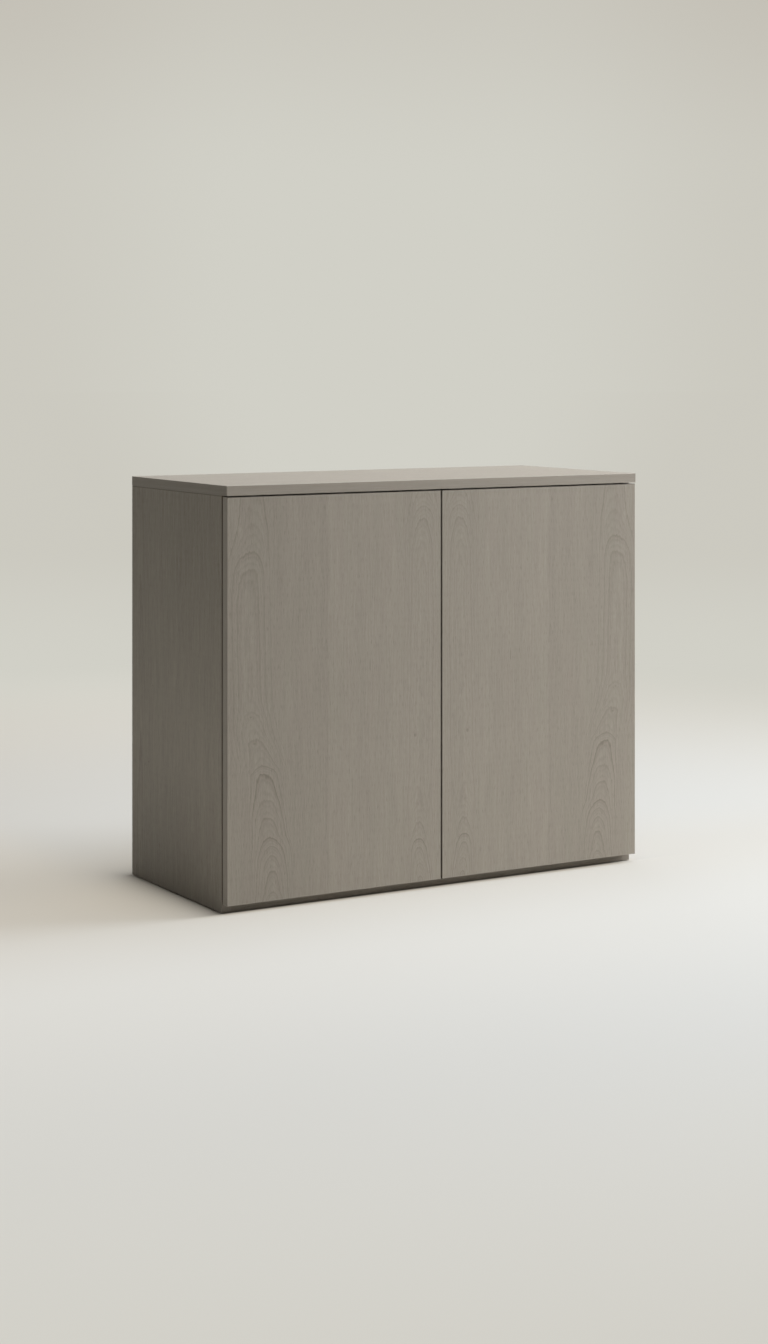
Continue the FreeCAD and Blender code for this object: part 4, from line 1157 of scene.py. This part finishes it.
@dataclass
class Carcass:
    """The fixed boards."""

    ring_breadth: float = 0.0065
    side_knots: tuple[Knot, ...] = (
        Knot(0.107, 0.374, 0.0026, 0.0022, 0.0040),
        Knot(0.125, 0.228, 0.0036, 0.0026, 0.0060),
    )
    # Painted light and shade on the side panels: dark at the foot, lighter low down where light
    # bounces from the floor, darker again towards the top.
    side_painted_light: tuple[tuple[float, float], ...] = (
        (0.0, 0.32), (0.12, 0.60), (0.32, 0.92), (0.50, 0.72), (0.75, 0.44), (1.0, 0.32))

    def plain_leaf(self, heart: float, strength: float) -> tuple[Leaf, ...]:
        """A leaf of almost straight grain."""
        trunk = ((0.0, heart, 3.0), (0.5, heart * 0.96, 4.4), (1.0, heart * 1.02, 5.2))
        return (Leaf(-1.0, self.ring_breadth, trunk, strength),)

    def dress(self) -> None:
        """Finish every board and its banding."""
        # The tones are partly painted shade: the top is darker against the strong light on it, and
        # the plinths are darker for the shade of their recess under the boards.
        boards = (
            ("top_panel", Axis.X, Axis.Y, 0.30, 0.5, 31.0, -0.11, 1.0),
            ("left_side_panel", Axis.Z, Axis.Y, 0.165, 1.0, 12.0, -0.04, 1.9),
            ("right_side_panel", Axis.Z, Axis.Y, 0.150, 1.0, 17.0, -0.04, 1.9),
            ("bottom_panel", Axis.X, Axis.Y, -0.28, 0.6, 41.0, 0.0, 1.0),
            ("front_plinth", Axis.X, Axis.Z, 0.20, 0.4, 47.0, -0.32, 1.0),
            ("rear_plinth", Axis.X, Axis.Z, 0.20, 0.4, 48.0, -0.10, 1.0),
        )
        for node, grain, across, heart, strength, seed, tone, contrast in boards:
            leaves = self.plain_leaf(heart, strength)
            upright = grain is Axis.Z
            # Upright boards get a painted shadow line under the top and painted light and shade
            # along their height.
            wood = SmokedWood(f"smoked_wood_{node}", grain, across, leaves,
                              self.side_knots if upright else (), seed=seed, tone=tone,
                              contrast=contrast, joint_shade=0.8 if upright else 0.0,
                              painted_light_swells=self.side_painted_light if upright else ())
            dress(node, wood.make(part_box(node)))
        bands = (
            ("top_edge_bands", Axis.X, Axis.Y),
            ("left_side_edge_bands", Axis.Y, Axis.Z),
            ("right_side_edge_bands", Axis.Y, Axis.Z),
            ("bottom_edge_band", Axis.X, Axis.Z),
        )
        for node, first, second in bands:
            # The end strips of the carcass banding are painted darker, as painted shade on the
            # ends of the top.
            banding = EdgeBand(f"banding_{node}", first, second, seed=3.0 + len(node),
                               painted_end_shade=-0.28)
            dress(node, banding.make(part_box(node)))
        back = StraightWood("printed_back_board", paint(128, 121, 110), paint(160, 153, 141),
                            Axis.Z, 0.55, 0.5)
        dress("back_panel", back.make())


@dataclass
class Shelf:
    """The loose shelf with its edge banding."""

    leaf: Leaf = Leaf(-1.0, 0.0065, ((0.0, 0.05, 3.0), (1.0, 0.06, 6.0)), 0.6)

    def dress(self) -> None:
        """Finish the shelf and its banding."""
        wood = SmokedWood("smoked_wood_shelf", Axis.X, Axis.Y, (self.leaf,), seed=53.0)
        dress("shelf", wood.make(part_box("shelf")))
        banding = EdgeBand("banding_shelf", Axis.X, Axis.Y, seed=57.0)
        dress("shelf_edge_bands", banding.make(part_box("shelf_edge_bands")))


@dataclass
class Hardware:
    """Hinges, latches, joints, shelf supports and feet."""

    board_screw: Screw = Screw(0.0037, 0.0014, 0.00175, 0.0015)
    plate_screw: Screw = Screw(0.0044, 0.0014, 0.0024, 0.0017)
    adjuster: Screw = Screw(0.0032, 0.0014, 0.0019, 0.0007, pointed=False)

    def dress(self) -> None:
        """Finish the hardware."""
        nickel = Metal("nickel_plate", paint(200, 197, 191), paint(236, 233, 226), 0.27, 900.0,
                       0.00004).make()
        zinc = Metal("zinc_plate", paint(176, 180, 185), paint(222, 226, 230), 0.34, 1200.0,
                     0.00005).make()
        casting = Metal("zinc_casting", paint(164, 165, 166), paint(208, 209, 209), 0.42, 700.0,
                        0.00008).make()
        grey = Plastic("grey_moulding", paint(120, 119, 115), paint(150, 149, 144), 0.46).make()
        dark = Plastic("dark_moulding", paint(28, 28, 28), paint(52, 51, 50), 0.42).make()
        beech = StraightWood("beech_dowel", paint(176, 136, 96), paint(216, 182, 140), Axis.X,
                             0.6, 1.0).make()
        finishes = {
            "zinc_casting": casting, "nickel_steel": nickel, "zinc_steel": zinc,
            "grey_plastic": grey, "dark_plastic": dark, "beech_dowel": beech,
        }
        for row in FRAME["record"]["subparts"]:
            if row["material_slot"] in finishes:
                dress(row["node"], finishes[row["material_slot"]])
        self.screws(zinc)
        for node, (made, edge) in self.roundings().items():
            softened(node, f"{made}_{node}", edge, finishes[slot_of(node)])
        fluted_dowels("dowels", beech)
        for corner in ("front_left", "front_right", "rear_left", "rear_right"):
            LevellingFoot(corner).build(zinc, dark)

    def screws(self, material: Material) -> None:
        """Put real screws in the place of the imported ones.

        Args:
            material: Their finish.
        """
        board = self.board_screw
        for side in ("left", "right"):
            board.stand_for(f"{side}_cup_screws", Axis.Y, -1.0, material)
            board.stand_for(f"{side}_strike_screw", Axis.Y, -1.0, material)
        board.stand_for("back_screws", Axis.Y, -1.0, material)
        board.stand_for("latch_screws", Axis.Z, 1.0, material)
        board.stand_for("foot_bracket_screws", Axis.Z, 1.0, material)
        self.plate_screw.stand_for("hinge_plate_screws", Axis.X, 0.0, material)
        self.adjuster.stand_for("hinge_adjusting_screws", Axis.X, 0.0, material)

    @staticmethod
    def roundings() -> dict[str, tuple[str, float]]:
        """How each pressed, cast or moulded piece is made and rounded.

        Returns:
            For each piece, its making and the width of its roundings.
        """
        rows = {
            "hinge_arms": ("pressed", 0.00035),
            "hinge_arm_pins": ("headed", 0.00020),
            "hinge_mounting_plates": ("cast", 0.00050),
            "cam_locks": ("cast", 0.00030),
            "latch_housings": ("moulded", 0.00050),
            "shelf_supports": ("cast", 0.00030),
            "foot_brackets": ("moulded", 0.00050),
            "access_caps": ("moulded", 0.00040),
        }
        for side in ("left", "right"):
            rows[f"{side}_hinge_cups"] = ("pressed", 0.00025)
            rows[f"{side}_outer_links"] = ("pressed", 0.00030)
            rows[f"{side}_inner_links"] = ("pressed", 0.00030)
            rows[f"{side}_strike_plate"] = ("pressed", 0.00025)
            rows[f"{side}_latch_plunger"] = ("moulded", 0.00040)
        return rows


# ---- studio
@dataclass(frozen=True)
class SoftBox:
    """A soft box: where it stands, the point it faces, its face, power and colour."""

    name: str
    place: Point
    aim: Point
    size: tuple[float, float]
    watts: float
    colour: Colour = (1.0, 1.0, 1.0)

    def light(self) -> None:
        """Put the lamp in the scene."""
        data = bpy.data.lights.new(self.name, "AREA")
        data.shape = "RECTANGLE"
        data.size, data.size_y = self.size
        data.energy = self.watts
        data.color = self.colour
        lamp = bpy.data.objects.new(self.name, data)
        lamp.location = self.place
        facing = Vector(self.aim) - Vector(self.place)
        lamp.rotation_euler = facing.to_track_quat("-Z", "Y").to_euler()
        lamp.visible_camera = False
        bpy.context.scene.collection.objects.link(lamp)


SOFT_BOXES = (
    SoftBox("overhead_box", (0.4, -0.6, 4.2), (0.0, 0.0, 0.5), (3.0, 3.0), 87.0),
    SoftBox("rear_overhead_box", (0.6, 0.4, 3.6), (0.0, 0.0, 0.5), (2.4, 2.4), 32.0),
    SoftBox("high_right_box", (3.01, -0.81, 3.11), (0.0, 0.0, 0.35), (1.8, 1.8), 67.0),
    SoftBox("right_box", (3.76, -1.01, 1.87), (0.0, 0.0, 0.35), (1.8, 1.8), 166.0),
    SoftBox("rear_box", (1.2, 3.2, 0.42), (0.0, 0.0, 0.35), (1.8, 0.6), 20.0),
)


@dataclass
class Studio:
    """Floor, backdrop colour, lamps and camera.

    The camera is given by its eye, its turn from straight ahead, and its focal length, frame
    height and horizon, all three in picture points.  The floor is lit near the cabinet and
    turns into the backdrop between the near and far distances; where it is seen it also has
    a share of its own glow, a little more before and beside the cabinet, and none where the
    boards come down to it.
    """

    eye: Point = (-2.409, -4.048, 0.9995)
    yaw: float = math.radians(30.69)
    focal: float = 2424.0
    frame_height: float = 1344.0
    horizon: float = 354.1
    floor_radius: float = 60.0
    near: float = 0.77
    far: float = 3.24
    floor_paint: Colour = paint(224, 219, 208)
    shown_paint: Colour = paint(183, 191, 198)
    contact_paint: Colour = paint(185, 180, 171)
    contact_reach: float = 0.035
    contact_front: tuple[float, float] = (-0.190, -0.176)
    floor_glow: Colour = paint(231, 220, 201)
    front_glow: Colour = paint(243, 237, 225)
    glow_share: float = 0.44
    front_lift: float = 0.14
    side_lift: float = 0.09
    wall_paint: Colour = paint(209, 208, 199)
    edge_paint: Colour = paint(196, 192, 182)
    room_light: float = 0.05
    room_colour: Colour = (1.0, 0.93, 0.82)

    def camera(self) -> None:
        """A level camera whose lens is shifted down, so that uprights stay upright."""
        data = bpy.data.cameras.new("camera")
        data.sensor_width = 36.0
        data.lens = self.focal / self.frame_height * data.sensor_width
        data.shift_y = (self.horizon - self.frame_height / 2) / self.frame_height
        camera = bpy.data.objects.new("camera", data)
        camera.location = self.eye
        camera.rotation_euler = (math.pi / 2, 0.0, -self.yaw)
        bpy.context.scene.collection.objects.link(camera)
        bpy.context.scene.camera = camera

    def shown_share(self, sheet: NodeSheet) -> Signal:
        """Which rays the camera sees, directly or in gloss and glass.

        Args:
            sheet: The nodes that it is worked out with.

        Returns:
            1 for those rays, 0 for the rest.
        """
        rays = sheet.node("ShaderNodeLightPath", {}, {})
        seen = (Signal(sheet, rays.outputs[name]) for name in
                ("Is Camera Ray", "Is Glossy Ray", "Is Transmission Ray"))
        return sum(seen).clamped()

    def aside(self, x: Signal, y: Signal) -> Signal:
        """How far a direction in plan turns aside from the backdrop's middle, 0 to 1."""
        turned = abs(x * math.cos(self.yaw) - y * math.sin(self.yaw))
        return turned.above(0.05, 0.16)

    def world(self) -> None:
        """Even studio light, and the backdrop's colour where it is seen."""
        world = bpy.data.worlds.new("studio")
        bpy.context.scene.world = world
        sheet = NodeSheet(world)
        coordinates = sheet.signal("ShaderNodeTexCoord", {}, {}, "Generated")
        parts = sheet.node("ShaderNodeSeparateXYZ", {}, {0: coordinates})
        x, y, z = (Signal(sheet, socket) for socket in parts.outputs)
        edge = self.aside(x, y) * 0.42 + z.above(0.07, 0.16) * 0.58
        backdrop = sheet.signal("ShaderNodeBackground", {}, {
            "Color": sheet.blend(edge, self.wall_paint, self.edge_paint), "Strength": 1.0})
        ambient = sheet.signal("ShaderNodeBackground", {}, {
            "Color": self.room_colour, "Strength": self.room_light})
        mixed = sheet.signal("ShaderNodeMixShader", {},
                             {0: self.shown_share(sheet), 1: ambient, 2: backdrop})
        sheet.node("ShaderNodeOutputWorld", {}, {"Surface": mixed})

    def floor(self) -> None:
        """A wide floor: point (r, a) lies at r * (cos a, sin a, 0)."""
        rings = self.floor_radius * np.linspace(0.0, 1.0, 33)[1:] ** 3
        disc = lathe(rings[:, None], 0.0, ring_angles(96))
        number = 1 + np.arange(disc[..., 0].size).reshape(disc.shape[:2])
        inner = np.stack((np.zeros_like(number[0]), number[0], np.roll(number[0], -1)), -1)
        points = np.concatenate((np.zeros((1, 3)), disc.reshape(-1, 3)))
        mesh = bpy.data.meshes.new("floor")
        mesh.from_pydata(points.tolist(), [], inner.tolist() + ring_quads(number).tolist())
        material, sheet = new_material("studio_floor")
        x, y, _ = sheet.place()
        distance = (x * x + y * y) ** 0.5
        far = distance.above(self.near, self.far)
        cloth = sheet.noise(x * 900.0, y * 900.0, 0.0, 2.0)
        shown = self.shown_share(sheet)
        past_side = (abs(x) - HALF_WIDTH).largest(0.0)
        past_front = (abs(y) - HALF_DEPTH).largest(0.0)
        clear = (past_side * past_side + past_front * past_front) ** 0.5
        contact = (clear / -self.contact_reach).maths("EXPONENT") * y.above(*self.contact_front)
        seen_paint = sheet.blend(contact, self.shown_paint, self.contact_paint)
        lit = sheet.principled({
            "Base Color": sheet.blend(shown, self.floor_paint, seen_paint),
            "Roughness": 0.9, "Specular IOR Level": 0.2,
            "Normal": sheet.bumped(cloth, 0.1, 0.0001)})
        edge = self.aside(x / distance, y / distance) * distance.above(3.0, 8.0) * 0.42
        edge = edge + y.below(-2.6, -1.2) * 0.55
        backdrop = sheet.blend(edge, self.wall_paint, self.edge_paint)
        glow = sheet.blend(y.below(-0.60, 0.0), self.floor_glow, self.front_glow)
        backdrop = sheet.blend(far, glow, backdrop)
        wall = sheet.signal("ShaderNodeEmission", {}, {"Color": backdrop, "Strength": 1.0})
        before = y.below(-0.30, 0.30) * y.above(-1.40, -0.50)
        beside = x.below(-0.62, -0.42) * y.above(-0.25, 0.12)
        share = before * self.front_lift + self.glow_share + beside * self.side_lift
        share = ((1.0 - contact) * share).towards(1.0, far)
        sheet.surface(sheet.signal("ShaderNodeMixShader", {}, {
            0: share * shown, 1: lit, 2: wall}))
        mesh.materials.append(material)
        floor = bpy.data.objects.new("studio_floor", mesh)
        bpy.context.scene.collection.objects.link(floor)

    def build(self) -> None:
        """Set up the whole studio."""
        bpy.context.scene.view_settings.view_transform = "Standard"
        self.camera()
        self.world()
        self.floor()
        for box in SOFT_BOXES:
            box.light()
        LOG.info("studio built")


def main() -> None:
    """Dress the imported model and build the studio."""
    logging.basicConfig(level=logging.INFO, format="%(name)s: %(message)s")
    FRAME.update(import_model())
    Studio().build()
    for assembly in (Carcass(), Doors(), Shelf(), Hardware()):
        assembly.dress()


FRAME: dict = {}

if __name__ == "__main__":
    main()
